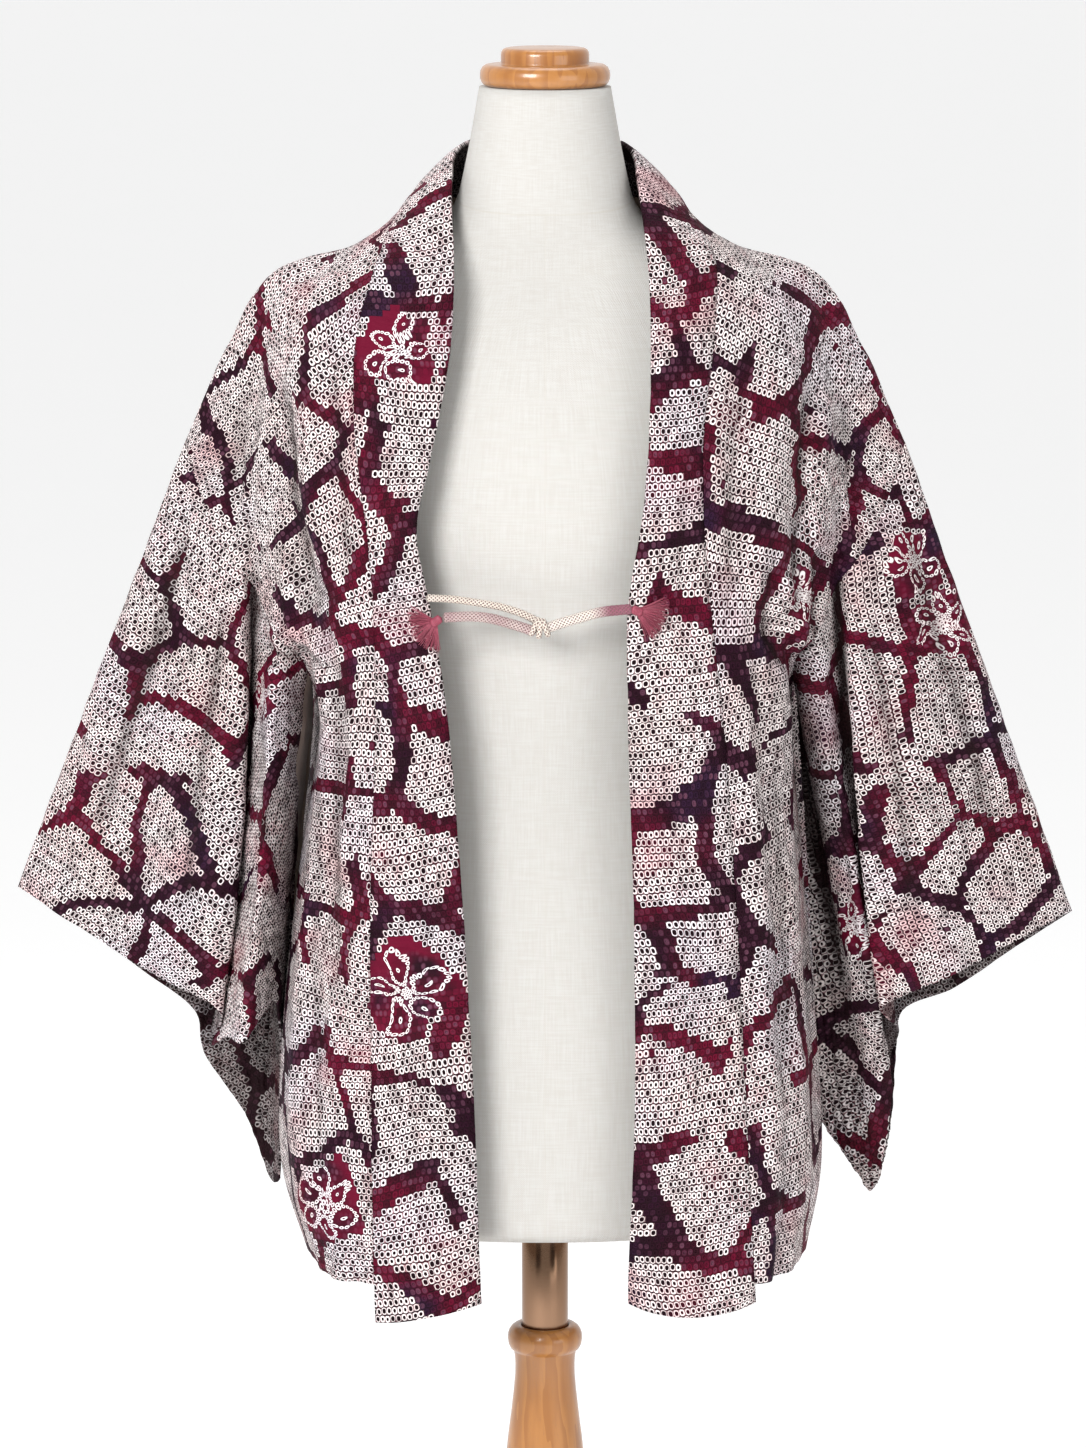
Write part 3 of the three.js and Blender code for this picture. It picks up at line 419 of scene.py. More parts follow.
def gusset_grid(side, pitch):
    rows = np.linspace(0, GUSSET_TOP_ROW, round(GUSSET_LENGTH / pitch) + 1)
    front, back = body_lines(side, rows)[:, 4], body_lines(side, LAST_ROW - rows)[:, 4]
    ease = GUSSET_EASE / np.linalg.norm(front - back, axis=1)
    across = np.linspace(0, 1, round(GUSSET_WIDTH / pitch) + 1)
    share = ease[:, None] + (1 - 2 * ease)[:, None] * across[None, :]
    grid = front[:, None] * (1 - share)[:, :, None] + back[:, None] * share[:, :, None]
    grid[:, :, 0] -= SIDES[side] * GUSSET_HOLLOW * 4 * share * (1 - share)
    return grid, travelled(grid, 1), travelled(grid, 0)


def sheet_normals(grid, ring):
    """Unit normals of a grid of points, turned away from the middle of what it wraps."""
    if ring:
        across = np.roll(grid, -1, axis=1) - np.roll(grid, 1, axis=1)
    else:
        across = np.gradient(grid, axis=1)
    normals = np.cross(across, np.gradient(grid, axis=0))
    normals /= np.maximum(np.linalg.norm(normals, axis=2), 1e-9)[:, :, None]
    hub = grid.mean(axis=1, keepdims=True) if ring else grid * (0, 0, 1)
    if np.sum(normals * (grid - hub)) < 0:
        normals = -normals
    return normals


# ---- Creases, placed as they are seen from the front or from behind ----

# path of (x, z), how deep it is pressed in (a negative depth stands proud), and half its width
CREASES = {
    ("sleeve_right", "front"): (
        (((-236, 1150), (-268, 1040), (-312, 900)), 5.0, 15),
        (((-252, 1120), (-300, 985), (-330, 890)), -4.0, 13),
        (((-214, 1095), (-228, 1000), (-246, 850)), 5.0, 11),
        (((-226, 1000), (-250, 900), (-262, 840)), -3.5, 12), (((-224, 1080), (-270, 985)), 2.5, 9),
        (((-230, 935), (-300, 905)), 2.2, 9), (((-188, 1040), (-192, 940), (-200, 830)), 3.0, 6),
        (((-180, 960), (-196, 900), (-210, 868)), 2.0, 6), (((-196, 1078), (-156, 1066)), 3.5, 5),
        (((-194, 1056), (-152, 1046)), 5.5, 6),
    ),
    ("sleeve_right", "back"): (
        (((-230, 1130), (-262, 1000), (-300, 880)), 6.0, 15),
        (((-205, 1080), (-226, 960), (-248, 820)), 5.0, 13), (((-240, 1010), (-300, 930)), 2.5, 10),
    ),
    ("sleeve_left", "front"): (
        (((238, 1150), (275, 1030), (312, 890)), 5.0, 15),
        (((252, 1120), (296, 985), (335, 885)), -3.5, 13),
        (((216, 1085), (236, 980), (252, 850)), 4.5, 12), (((226, 1040), (262, 905)), -3.0, 10),
        (((222, 965), (300, 920)), 2.2, 10), (((184, 1040), (199, 930), (222, 800)), 3.5, 7),
        (((200, 1000), (212, 880), (232, 760)), -3.0, 6), (((178, 960), (204, 800), (218, 720)), 3.0, 7),
    ),
    ("sleeve_left", "back"): (
        (((232, 1130), (270, 1000), (308, 860)), 6.0, 15),
        (((206, 1080), (232, 950), (254, 810)), 5.0, 13), (((240, 980), (310, 905)), 2.5, 10),
    ),
    ("body_panel_right", "front"): (
        (((-140, 1262), (-133, 1180), (-128, 1090)), 3.5, 10),
        (((-176, 1238), (-166, 1150), (-150, 1076)), 6.5, 8),
        (((-163, 1216), (-152, 1130), (-137, 1040)), -3.5, 8),
        (((-136, 1065), (-142, 940), (-136, 800)), 4.0, 9),
        (((-150, 1000), (-156, 860), (-150, 700)), 3.0, 8),
        (((-122, 900), (-128, 780), (-126, 660)), -2.5, 8),
        (((-176, 1120), (-150, 1098), (-124, 1092)), 2.5, 7), (((-160, 1080), (-135, 1064)), 2.0, 6),
        (((-172, 1056), (-140, 1044)), 5.0, 6),
    ),
    ("body_panel_right", "back"): (
        (((-60, 1240), (-48, 1050), (-46, 780)), 5.0, 18),
        (((-120, 1180), (-104, 1000), (-100, 700)), 5.0, 16), (((-168, 1120), (-120, 1060)), 4.0, 14),
        (((-90, 1230), (-75, 1100)), -4.0, 15),
    ),
    ("body_panel_left", "front"): (
        (((128, 1250), (124, 1170), (119, 1060)), 3.5, 9),
        (((178, 1240), (170, 1150), (166, 1062)), 6.5, 7),
        (((187, 1225), (183, 1140), (178, 1078)), -4.0, 6),
        (((152, 1120), (146, 1085), (158, 1052), (171, 1044)), 8.5, 7),
        (((160, 1110), (168, 1076), (172, 1050)), -6.0, 7),
        (((182, 1130), (181, 1080), (178, 1040)), 6.0, 5),
        (((140, 1150), (142, 1100), (146, 1052)), -3.0, 7),
        (((172, 1050), (168, 990), (172, 900)), 4.5, 9), (((150, 1040), (160, 900), (162, 760)), 4.0, 9),
        (((134, 1000), (142, 860), (150, 700)), -3.0, 9), (((176, 940), (180, 820), (180, 700)), 3.5, 8),
    ),
    ("body_panel_left", "back"): (
        (((60, 1240), (52, 1050), (50, 780)), 5.0, 18), (((120, 1180), (110, 1000), (104, 700)), 5.0, 16),
        (((168, 1120), (126, 1050)), 4.0, 14), (((92, 1230), (82, 1100)), -4.0, 15),
        (((176, 1010), (184, 900), (186, 800), (180, 720)), -5.0, 9),
    ),
    ("collar", "front"): (
        (((-112, 1240), (-100, 1130), (-94, 1060)), 1.6, 8),
        (((-60, 960), (-84, 820), (-88, 690)), 1.6, 9), (((-100, 1010), (-102, 900)), 1.4, 7),
        (((96, 1230), (88, 1130), (90, 1040)), 1.8, 8), (((84, 985), (96, 850), (108, 700)), 1.6, 10),
        (((66, 900), (74, 760)), 1.2, 7),
    ),
}
CRACK = 0.34  # the width of the painted shade along a crease's floor, to the width of the crease
DARKEST = 7.5  # the depth of a crease that lets no light in
RIPPLE = (  # waves that leave no stretch of cloth quite flat: height, wavelength, direction, phase
    (0.6, 46, 0.35, 0.4),
    (0.5, 33, 1.75, 2.1),
    (0.4, 27, -0.7, 4.0),
    (0.28, 19, 0.9, 1.2),
    (0.2, 15, 2.5, 3.3),
)

# where the folds of a sleeve shut the light out: fold, half its width in folds, first and last share of the
# sleeve's width, how dark
FOLD_SHADES = {
    "right": (
        (4.0, 0.34, -1, 2, 0.95), (7.9, 0.9, -1, 0.5, 0.75), (7.7, 0.7, 0.3, 2, 0.6),
        (8.7, 0.8, 0.4, 2, 0.7),
    ),
    "left": (
        (4.0, 0.4, -1, 2, 0.97), (7.2, 0.9, -1, 0.45, 0.75), (8.2, 1.1, 0.2, 2, 0.45),
        (6.0, 0.5, 0.6, 2, 0.4),
    ),
}


SHADE_FADE = 0.15  # the share of a sleeve's width over which such a shade comes and goes


def fold_shade(side, folds, rows):
    """How much light each point of a sleeve loses in its long folds."""
    share = np.linspace(0, 1, rows)[:, None]
    dark = np.zeros((rows, len(folds)))
    for fold, width, first, last, strength in FOLD_SHADES[side]:
        bank = strength * np.exp(-(((folds - fold) / width) ** 2))[None, :]
        fade = smooth((share - first) / SHADE_FADE) * smooth((last - share) / SHADE_FADE)
        dark = np.maximum(dark, bank * fade)
    return dark


def distance_to(path, x, z):
    """The distance from points to a line of corners, and how far along the line they lie, from 0 to 1."""
    corners = np.asarray(path, float)
    lengths = np.linalg.norm(np.diff(corners, axis=0), axis=1)
    best = np.full(x.shape, 1e9)
    place = np.zeros(x.shape)
    for k, length in enumerate(lengths):
        (x0, z0), (x1, z1) = corners[k], corners[k + 1]
        share = ((x - x0) * (x1 - x0) + (z - z0) * (z1 - z0)) / length**2
        held = np.clip(share, 0, 1)
        off = np.hypot(x - x0 - held * (x1 - x0), z - z0 - held * (z1 - z0))
        nearer = off < best
        best = np.where(nearer, off, best)
        place = np.where(nearer, (lengths[:k].sum() + held * length) / lengths.sum(), place)
    return best, place


def pressed(name, grid, normals, u, v, free):
    """The grid with its creases and ripples pushed in, and the painted shade of the deep creases: how much
    light they lose.

    free is 0 at the seams, where the cloth can't move.
    """
    x, z = grid[:, :, 0], grid[:, :, 2]
    push = np.zeros(x.shape)
    lost = np.zeros(x.shape)
    for face, sign in (("front", -1), ("back", 1)):
        facing = smooth((normals[:, :, 1] * sign + 0.1) / 0.45)
        for path, depth, width in CREASES.get((name, face), ()):
            off, place = distance_to(path, x, z)
            uneven = 1 + 0.25 * np.sin(9 * place + depth) + 0.12 * np.sin(23 * place)
            fade = smooth(place / 0.18) * smooth((1 - place) / 0.25)
            # one bank of each crease is steeper than the other
            bank = np.exp(-((off / (width * (1 + 0.35 * np.sin(x / 11 + z / 17)))) ** 2))
            push -= facing * depth * uneven * fade * bank
            floor = np.exp(-((off / (CRACK * width)) ** 2))
            lost = np.maximum(lost, facing * fade * floor * np.clip(depth / DARKEST, 0, 1))
    # the outline is stretched smooth by the cloth's own weight
    slack = 0.3 + 0.7 * smooth(np.abs(normals[:, :, 1]) / 0.6)
    for height, length, direction, phase in RIPPLE:
        turn = TURN * (u * math.cos(direction) + v * math.sin(direction)) / length + phase
        push += slack * height * np.sin(turn + 0.8 * np.sin(v / 37 + phase))
    return grid + normals * (push * free)[:, :, None], lost


# ---- Meshes ----


def make_object(name, points, faces, materials, slots=None, uvs=None):
    """An object from points and cloth coordinates in millimetres."""
    mesh = bpy.data.meshes.new(name)
    mesh.from_pydata((np.asarray(points, float) * MM).tolist(), [], faces)
    for material in materials:
        mesh.materials.append(material)
    if slots is not None:
        mesh.polygons.foreach_set("material_index", slots)
    mesh.polygons.foreach_set("use_smooth", [True] * len(mesh.polygons))
    if uvs is not None:
        layer = mesh.uv_layers.new(name="cloth")
        loops = np.empty(len(mesh.loops), dtype=np.int64)
        mesh.loops.foreach_get("vertex_index", loops)
        layer.data.foreach_set("uv", (uvs * MM)[loops].ravel())
    mesh.update()
    piece = bpy.data.objects.new(name, mesh)
    bpy.context.scene.collection.objects.link(piece)
    return piece


SHADE_REACH = (2, 4, 8)  # how many mesh steps away the cloth around is felt
OPEN, SHUT = 0.22, 0.82  # how steeply it rises where shade begins and where it is full


def shaded(grid, ring):
    """How deep each point lies below the cloth around it, from 0 on open cloth to 1 in a shut fold: the
    painted shade of its hollows.
    """
    normals = sheet_normals(grid, ring)
    depth = np.zeros(grid.shape[:2])
    for step in SHADE_REACH:
        for axis in (0, 1):
            padding = [(step, step) if k == axis else (0, 0) for k in range(3)]
            wide = np.pad(grid, padding, mode="wrap" if ring and axis == 1 else "edge")
            spots = np.arange(grid.shape[axis])
            before, after = np.take(wide, spots, axis=axis), np.take(wide, spots + 2 * step, axis=axis)
            rise = np.sum(((before + after) / 2 - grid) * normals, axis=2)
            depth = np.maximum(depth, rise / step)
    return smooth((depth - OPEN) / (SHUT - OPEN))


def shell(name, grid, u, v, ring, thickness, materials, dark, inside=0.0, lined=None, cut=None):
    """A closed sheet of cloth: its outer face takes the first material and its inner face the second.

    dark is the painted shade of the outer face, how much light each point loses, and inside is that of the
    inner face.
    """
    normals = sheet_normals(grid, ring)
    rows, columns = u.shape
    halves = thickness / 2, -thickness / 2
    points = np.concatenate([(grid + normals * half).reshape(-1, 3) for half in halves])
    uvs = np.tile(np.stack((u.ravel(), v.ravel()), axis=1), (2, 1))
    inner = rows * columns
    quads, i, j = grid_quads(rows, columns, ring)
    first = points[quads[:, :3]]
    facing = np.cross(first[:, 1] - first[:, 0], first[:, 2] - first[:, 0])
    outward = np.sum(facing * normals.reshape(-1, 3)[quads[:, 0]])
    if outward < 0:
        quads = quads[:, ::-1]
    faces = quads.tolist()
    slots = [0] * len(faces) if lined is None else (2 * lined[i, j]).astype(int).tolist()
    faces += (quads[:, ::-1] + inner).tolist()
    slots += [1] * len(quads)
    rims = []
    for a, b in rim_edges(rows, columns, ring):
        rims.append((a, b, b + inner, a + inner) if outward < 0 else (b, a, a + inner, b + inner))
    faces += rims
    slots += [0] * len(rims)
    piece = make_object(name, points, faces, materials, slots, uvs)
    # painted shade of each point: dark on the outer face, inside on the inner face
    painted_shade = piece.data.attributes.new("painted_shade", "FLOAT", "POINT")
    painted_shade.data.foreach_set("value", np.concatenate((dark.ravel(), np.full(inner, inside))))
    if cut is not None:
        column, edge = cut
        last = np.nonzero(np.tile(j == (column - 1) % columns, 2))[0]
        loops = (last[:, None] * 4 + np.arange(4)).ravel()
        corners = np.array([piece.data.loops[int(loop)].vertex_index % inner for loop in loops])
        layer = piece.data.uv_layers["cloth"].data
        for loop, corner in zip(loops, corners):
            if corner % columns == column:
                layer[int(loop)].uv = edge[:, corner // columns] * MM
    return piece


def grid_quads(rows, columns, ring=False):
    """The corners of every cell of a grid, with the cell's row and column."""
    spans = columns if ring else columns - 1
    i, j = (index.ravel() for index in np.meshgrid(np.arange(rows - 1), np.arange(spans), indexing="ij"))
    here, below, after = i * columns, (i + 1) * columns, (j + 1) % columns
    return np.stack((here + j, here + after, below + after, below + j), axis=1), i, j


def rim_edges(rows, columns, ring):
    """The open edges of a grid, in order round it, as they are met with the face on the same hand."""
    spans = columns if ring else columns - 1
    for j in range(spans):
        after = (j + 1) % columns
        yield j, after
        yield (rows - 1) * columns + after, (rows - 1) * columns + j
    for i in range(rows - 1 if not ring else 0):
        yield (i + 1) * columns, i * columns
        yield i * columns + columns - 1, (i + 1) * columns + columns - 1


ROUTE_STEPS = 240


def tube(name, route, radius, sides, pitch, material, flat=1.0, lumps=0.0, closed=False):
    """A cord of one radius along a smooth route, in millimetres, with rounded ends unless it is closed."""
    fine = curve(route, np.linspace(0, len(route) - (0 if closed else 1), ROUTE_STEPS), closed)
    steps = evenly(fine, pitch, ROUTE_STEPS - 1)
    line = np.stack([np.interp(steps, range(ROUTE_STEPS), fine[:, k]) for k in range(3)], axis=1)
    if closed:
        line = line[:-1]
        ahead = np.roll(line, -1, axis=0) - np.roll(line, 1, axis=0)
    else:
        ahead = np.gradient(line, axis=0)
    ahead /= np.linalg.norm(ahead, axis=1)[:, None]
    frame_up = np.array((0.0, -1.0, 0.0))
    points = []
    for step, (point, along_it) in enumerate(zip(line, ahead)):
        aside = np.cross(along_it, frame_up)
        aside /= np.linalg.norm(aside)
        frame_up = np.cross(aside, along_it)
        for side in range(sides):
            turn = TURN * side / sides
            swell = radius * (1 + lumps * math.sin(step * 1.9 + 2 * turn))
            points.append(point + swell * (aside * math.cos(turn) + frame_up * flat * math.sin(turn)))
    count = len(line)
    rows = [[step * sides + side for side in range(sides)] for step in range(count)]
    faces = []
    for step in range(count if closed else count - 1):
        low, high = rows[step], rows[(step + 1) % count]
        faces += [(low[k - 1], low[k], high[k], high[k - 1]) for k in range(sides)]
    if not closed:
        for row, outwards in ((0, -1), (-1, 1)):
            faces += [(rows[row][k - 1], len(points), rows[row][k]) for k in range(sides)]
            points.append(line[row] + ahead[row] * outwards * radius * 0.5)
    uvs = np.array([(i % sides / sides * TURN * radius, i // sides * pitch) for i in range(len(points))])
    piece = make_object(name, points, faces, [material], uvs=uvs)
    face_outwards(piece)
    return piece


def face_outwards(piece):
    mesh = bmesh.new()
    mesh.from_mesh(piece.data)
    bmesh.ops.recalc_face_normals(mesh, faces=mesh.faces)
    mesh.to_mesh(piece.data)
    mesh.free()


def joined(name, parts):
    """Several meshes as one piece."""
    bpy.ops.object.select_all(action="DESELECT")
    for part in parts:
        part.select_set(True)
    bpy.context.view_layer.objects.active = parts[0]
    bpy.ops.object.join()
    parts[0].name = name
    return parts[0]


def spun(name, grid, low, high, material):
    """A closed piece from rings of points, with one more point on the axis below and above them."""
    rings, sides = grid.shape[:2]
    points = [(0, 0, low), *grid.reshape(-1, 3), (0, 0, high)]
    faces = []
    last = 1 + (rings - 1) * sides
    for side in range(sides):
        beside = (side + 1) % sides
        faces += [(0, 1 + beside, 1 + side), (len(points) - 1, last + side, last + beside)]
        for first in range(1, last, sides):
            after = first + sides
            faces.append((first + side, first + beside, after + beside, after + side))
    return make_object(name, points, faces, [material])


def turned(name, profile, sides, material):
    """A piece turned on a lathe; its profile of (radius, height) starts and ends on the axis."""
    radius, height = (np.array(column, float)[:, None] for column in zip(*profile[1:-1]))
    turn = TURN * np.arange(sides) / sides
    grid = np.stack((radius * np.cos(turn), radius * np.sin(turn), height + 0 * turn), axis=2)
    return spun(name, grid, profile[0][1], profile[-1][1], material)


# ---- Materials ----


class Value:
    """A number, vector or colour that a material works out; sums of values are nodes too."""

    def __init__(self, graph, socket):
        self.graph, self.socket = graph, socket

    def sum(self, operation, *given):
        if self.socket.type == "VALUE":
            return self.graph.math(operation, *given)
        if operation == "MULTIPLY" and not isinstance(given[1], tuple):
            return self.graph.node("VectorMath", 0, {0: given[0], "Scale": given[1]}, operation="SCALE")
        return self.graph.node("VectorMath", 0, dict(enumerate(given)), operation=operation)

    def __rsub__(self, other):
        return self.sum("SUBTRACT", other, self)


SUMS = {
    "add": "ADD", "radd": "ADD", "sub": "SUBTRACT", "mul": "MULTIPLY", "truediv": "DIVIDE", "mod": "MODULO",
    "pow": "POWER", "lt": "LESS_THAN", "gt": "GREATER_THAN", "abs": "ABSOLUTE",
}
for short, full in SUMS.items():
    setattr(Value, f"__{short}__", lambda *given, operation=full: given[0].sum(operation, *given))


class Graph:
    """A material's nodes."""

    def __init__(self, name):
        self.material = bpy.data.materials.new(name)
        self.material.use_nodes = True
        self.tree = self.material.node_tree

    def put(self, socket, given):
        if isinstance(given, Value):
            self.tree.links.new(given.socket, socket)
        elif given is not None:
            colour = socket.type == "RGBA" and len(given) == 3
            socket.default_value = (*given, 1.0) if colour else given

    def node(self, kind, output, inputs, **settings):
        """A new node's output; inputs left at None keep their own value."""
        node = self.tree.nodes.new("ShaderNode" + kind)
        for name, setting in settings.items():
            setattr(node, name, setting)
        for name, given in inputs.items():
            self.put(node.inputs[name], given)
        return Value(self, node.outputs[output])

    def math(self, operation, *given):
        return self.node("Math", 0, dict(enumerate(given)), operation=operation)

    def length(self, vector):
        return self.node("VectorMath", "Value", {0: vector}, operation="LENGTH")

    def parts(self, vector):
        first = self.node("SeparateXYZ", 0, {0: vector})
        return [Value(self, output) for output in first.socket.node.outputs]

    def whole(self, x, y, z=0.0):
        return self.node("CombineXYZ", 0, {0: x, 1: y, 2: z})

    def step(self, low, high, given):
        """0 below low and 1 above high, smooth between; the other way round where low is above high."""
        (first, at_first), (last, at_last) = sorted(((low, 0.0), (high, 1.0)))
        levels = {"From Min": first, "From Max": last, "To Min": at_first, "To Max": at_last}
        return self.node("MapRange", "Result", {"Value": given, **levels}, interpolation_type="SMOOTHSTEP")

    def noise(self, at, scale, detail=2.0, colour=False):
        settings = {"Vector": at, "Scale": scale, "Detail": detail}
        return self.node("TexNoise", "Color" if colour else "Fac", settings)

    def sway(self, at, scale, size):
        """A soft sideways shift that wanders over the cloth."""
        return (self.noise(at, scale, 1.0, colour=True) - (0.5, 0.5, 0.5)) * size

    def turned(self, at, angle):
        return self.node("VectorRotate", 0, {"Vector": at, "Angle": angle}, rotation_type="Z_AXIS")

    def edges(self, at, scale, randomness):
        """The distance to the nearest border of a net of uneven cells."""
        settings = {"Vector": at, "Scale": scale, "Randomness": randomness}
        kind = {"voronoi_dimensions": "2D", "feature": "DISTANCE_TO_EDGE"}
        return self.node("TexVoronoi", "Distance", settings, **kind)

    def mix(self, share, a, b):
        return self.node("Mix", 2, {0: share, 6: a, 7: b}, data_type="RGBA")

    def uv(self):
        return self.node("UVMap", 0, {}, uv_map="cloth")

    def place(self):
        return self.node("TexCoord", "Object", {})

    def bump(self, height, distance, strength=1.0, below=None):
        settings = {"Height": height, "Distance": distance, "Strength": strength, "Normal": below}
        return self.node("Bump", 0, settings)

    def finish(self, colour, roughness, normal=None, **settings):
        shader = self.tree.nodes["Principled BSDF"]
        given = {"Base Color": colour, "Roughness": roughness, "Normal": normal}
        given.update((name.replace("_", " "), setting) for name, setting in settings.items())
        for name, setting in given.items():
            self.put(shader.inputs[name], setting)
        return self.material


for full in ("FLOOR", "FRACT", "SINE", "COSINE", "ARCTAN2", "MAXIMUM"):
    setattr(Graph, full.lower(), lambda graph, *given, operation=full: graph.math(operation, *given))
CELL_ASPECT = 0.84  # the width of a tied point's cell, to the pitch
SQUARISH = 2.5  # 2 gives round points and more gives squarer ones


def knot_rows(g, at, pitch, angle):
    """The tied points of the silk, in rows with every other row set half a step on.

    Gives the middle of each point's cell, the distance from there in cells, how near the gap between two
    rows is, and a number that each cell draws by lot.
    """
    at = g.turned(at + g.sway(at, 11.0, 0.022), angle)
    wide, high = pitch * CELL_ASPECT, pitch * (2 - CELL_ASPECT)
    x, y, _ = g.parts(at)
    x, y = x / wide, y / high
    row = g.floor(y)
    set_on = row % 2.0 * 0.5
    x = x + set_on
    column = g.floor(x)
    cell = g.whole(column, row)
    by_lot = g.node("TexWhiteNoise", "Color", {"Vector": cell}, noise_dimensions="3D")
    off_x, off_y, luck = g.parts(by_lot - (0.5, 0.5, 0.5))
    dx = g.fract(x) - 0.5 - off_x * 0.1
    dy = g.fract(y) - 0.5 - off_y * 0.1
    away = (abs(dx) ** SQUARISH + abs(dy) ** SQUARISH) ** (1 / SQUARISH)
    groove = g.step(0.33, 0.44, abs(dy))
    centre = g.whole((column - set_on + 0.5) * wide, (row + 0.5) * high)
    return centre, away, groove, luck


def shibori(name, sizes, colours, angle, dense, offset, flowers):
    """Silk tied and dyed point by point: fields of pale rings round dark dots, with dark bands between."""
    g = Graph(name)
    at = g.uv() + (offset[0], offset[1], 0.0)
    pitch = sizes.dot_pitch
    centre, away, groove, luck = knot_rows(g, at, pitch, angle)
    # the dark bands, drawn in whole cells
    net = g.edges(centre + g.sway(centre, 13.0, 0.04), 1 / sizes.field, 0.85)
    wide = g.noise(centre, 21.0, 1.0) * (dense * sizes.band / sizes.field)
    band = net < wide
    kept = g.noise(centre + (3.1, 1.7, 0.0), 14.0, 1.0) > 0.4
    stray = g.noise(centre, 60.0, 1.0) > 0.76
    band = g.maximum(band * kept, stray)
    # the dye changes slowly over the cloth, and a little from one tied point to the next
    dye = g.mix(g.step(0.42, 0.58, g.noise(at, 9.0)), colours.plum, colours.crimson)
    dye = g.mix(g.step(0.54, 0.7, g.noise(at + (5.2, 0.4, 0.0), 15.0)), dye, colours.violet)
    patch = g.step(0.48, 0.2, away) * g.maximum(luck * 1.8, 0.0)
    dark = g.mix(patch, dye, colours.faded)
    dark = g.mix(g.maximum(luck * -1.4, 0.0), dark, colours.shadow)
    dark = g.mix(g.step(0.4, 0.56, away) * 0.6, dark, colours.shadow)
    # the pale rings, blushed here and there where the crimson ran
    blush = g.step(0.5, 0.76, g.noise(at + (1.3, 7.7, 0.0), 17.0))
    stain = g.step(0.48, 0.75, g.noise(at, 70.0, 3.0))
    worn = g.step(0.45, 0.7, g.noise(at + (2.9, 4.1, 0.0), 12.0))
    cool = g.step(0.5, 0.68, g.noise(at + (9.2, 3.3, 0.0), 10.0))
    pale = g.mix(blush * 0.7, colours.ivory, colours.blush)
    pale = g.mix((luck + 0.5) * 0.1, pale, colours.faded)
    pale = g.mix(stain * 0.4, pale, colours.blush)
    pale = g.mix(worn * 0.32, pale, colours.worn)
    pale = g.mix(cool * 0.4, pale, colours.cool)
    rim = g.step(0.5, 0.43, away)
    between = g.mix(0.12, g.mix(0.3, dye, colours.blush), pale)
    # in the groove between two rows the dyed ground is darkened further as painted shade
    gap = g.mix(groove, between, g.mix(0.8, dye, colours.shadow))
    field = g.mix(rim, gap, pale)
    hole = g.step(0.05, -0.05, away - (0.285 + luck * 0.16))
    field = g.mix(hole, field, g.mix(blush, colours.shadow, dye))
    colour = g.mix(band, field, dark)
    domed = rim - g.step(0.26, 0.04, away) * 0.9
    height = domed * (1.0 - band * 0.5)
    if flowers:
        coarse = g.turned(centre, -angle)
        ragged = (g.noise(centre, 30.0, 1.0) - 0.5) * 0.04
        ground_dye = g.mix(g.step(0.42, 0.58, g.noise(at, 22.0)), dark, colours.crimson)
        for x, y, size, petals, start in flowers:
            spot = (x + offset[0], y + offset[1], 0.0)
            off = at - spot + g.sway(at, 48.0, 0.02)
            ring = flower_rings(g, off, size, petals, start, pitch * 0.95)
            reach = g.length(coarse - spot) + ragged
            ground = reach < size
            colour = g.mix(ground, colour, g.mix(ring, ground_dye, pale))
            height = height * (1.0 - ground) + ring * ground * 0.6
    normal = g.bump(g.noise(at, 900.0), 0.00025, 0.5)
    normal = g.bump(g.noise(at * (1.0, 2.6, 1.0), 55.0), 0.006, 0.7, normal)
    normal = g.bump(height, 0.0022, 1.0, normal)
    return g.finish(shut_in(g, colour), 0.7, normal, Specular_IOR_Level=0.1)


def shut_in(g, colour):
    """The colour with painted shade, darker where the folds let no light in."""
    depth = g.node("Attribute", "Fac", {}, attribute_name="painted_shade")
    return g.mix(depth * 0.92, colour, (0.012, 0.005, 0.005))


def beads(g, along_it, beside, radius, pitch):
    """1 on the small rings of a chain that runs round a circle."""
    count = max(5, round(TURN * radius / pitch))
    turn = g.arctan2(beside, along_it) * (count / TURN)
    step = (g.fract(turn) - 0.5) * (TURN * radius / count)
    off = g.length(g.whole(along_it, beside)) - radius
    return bead(g, g.length(g.whole(step, off)), pitch)


def bead(g, far, pitch):
    return g.step(0.52 * pitch, 0.42 * pitch, far) * g.step(0.13 * pitch, 0.22 * pitch, far)


def flower_rings(g, off, size, petals, start, pitch):
    """1 on a flower's small rings: a chain round each petal and the heart, and one in each middle."""
    x, y, _ = g.parts(off)
    far = g.length(off)
    turn = g.arctan2(y, x) * (petals / TURN) + start
    bearing = (g.fract(turn) - 0.5) * (TURN / petals)
    along_it = far * g.cosine(bearing) - 0.58 * size
    beside = far * g.sine(bearing) * 1.45
    petal = beads(g, along_it, beside, 0.33 * size, pitch)
    heart = beads(g, x, y, 0.12 * size, pitch)
    middle = g.maximum(bead(g, far, pitch), bead(g, g.length(g.whole(along_it, beside)), pitch))
    return g.maximum(g.maximum(petal, heart), middle)


def lining(colours):
    g = Graph("lining")
    at = g.uv()
    fine = g.sine(g.parts(at)[0] * (TURN / 0.0007))
    colour = g.mix(g.noise(at, 25.0, 3.0), colours.lining, (0.42, 0.31, 0.24))
    return g.finish(shut_in(g, colour), 0.6, g.bump(fine, 0.0001, 0.3), Sheen_Weight=0.15)


FORM_RADIUS = 0.11
NECK_SEAM = 1.352
NECK_SEAM_SLOPE = 0.16


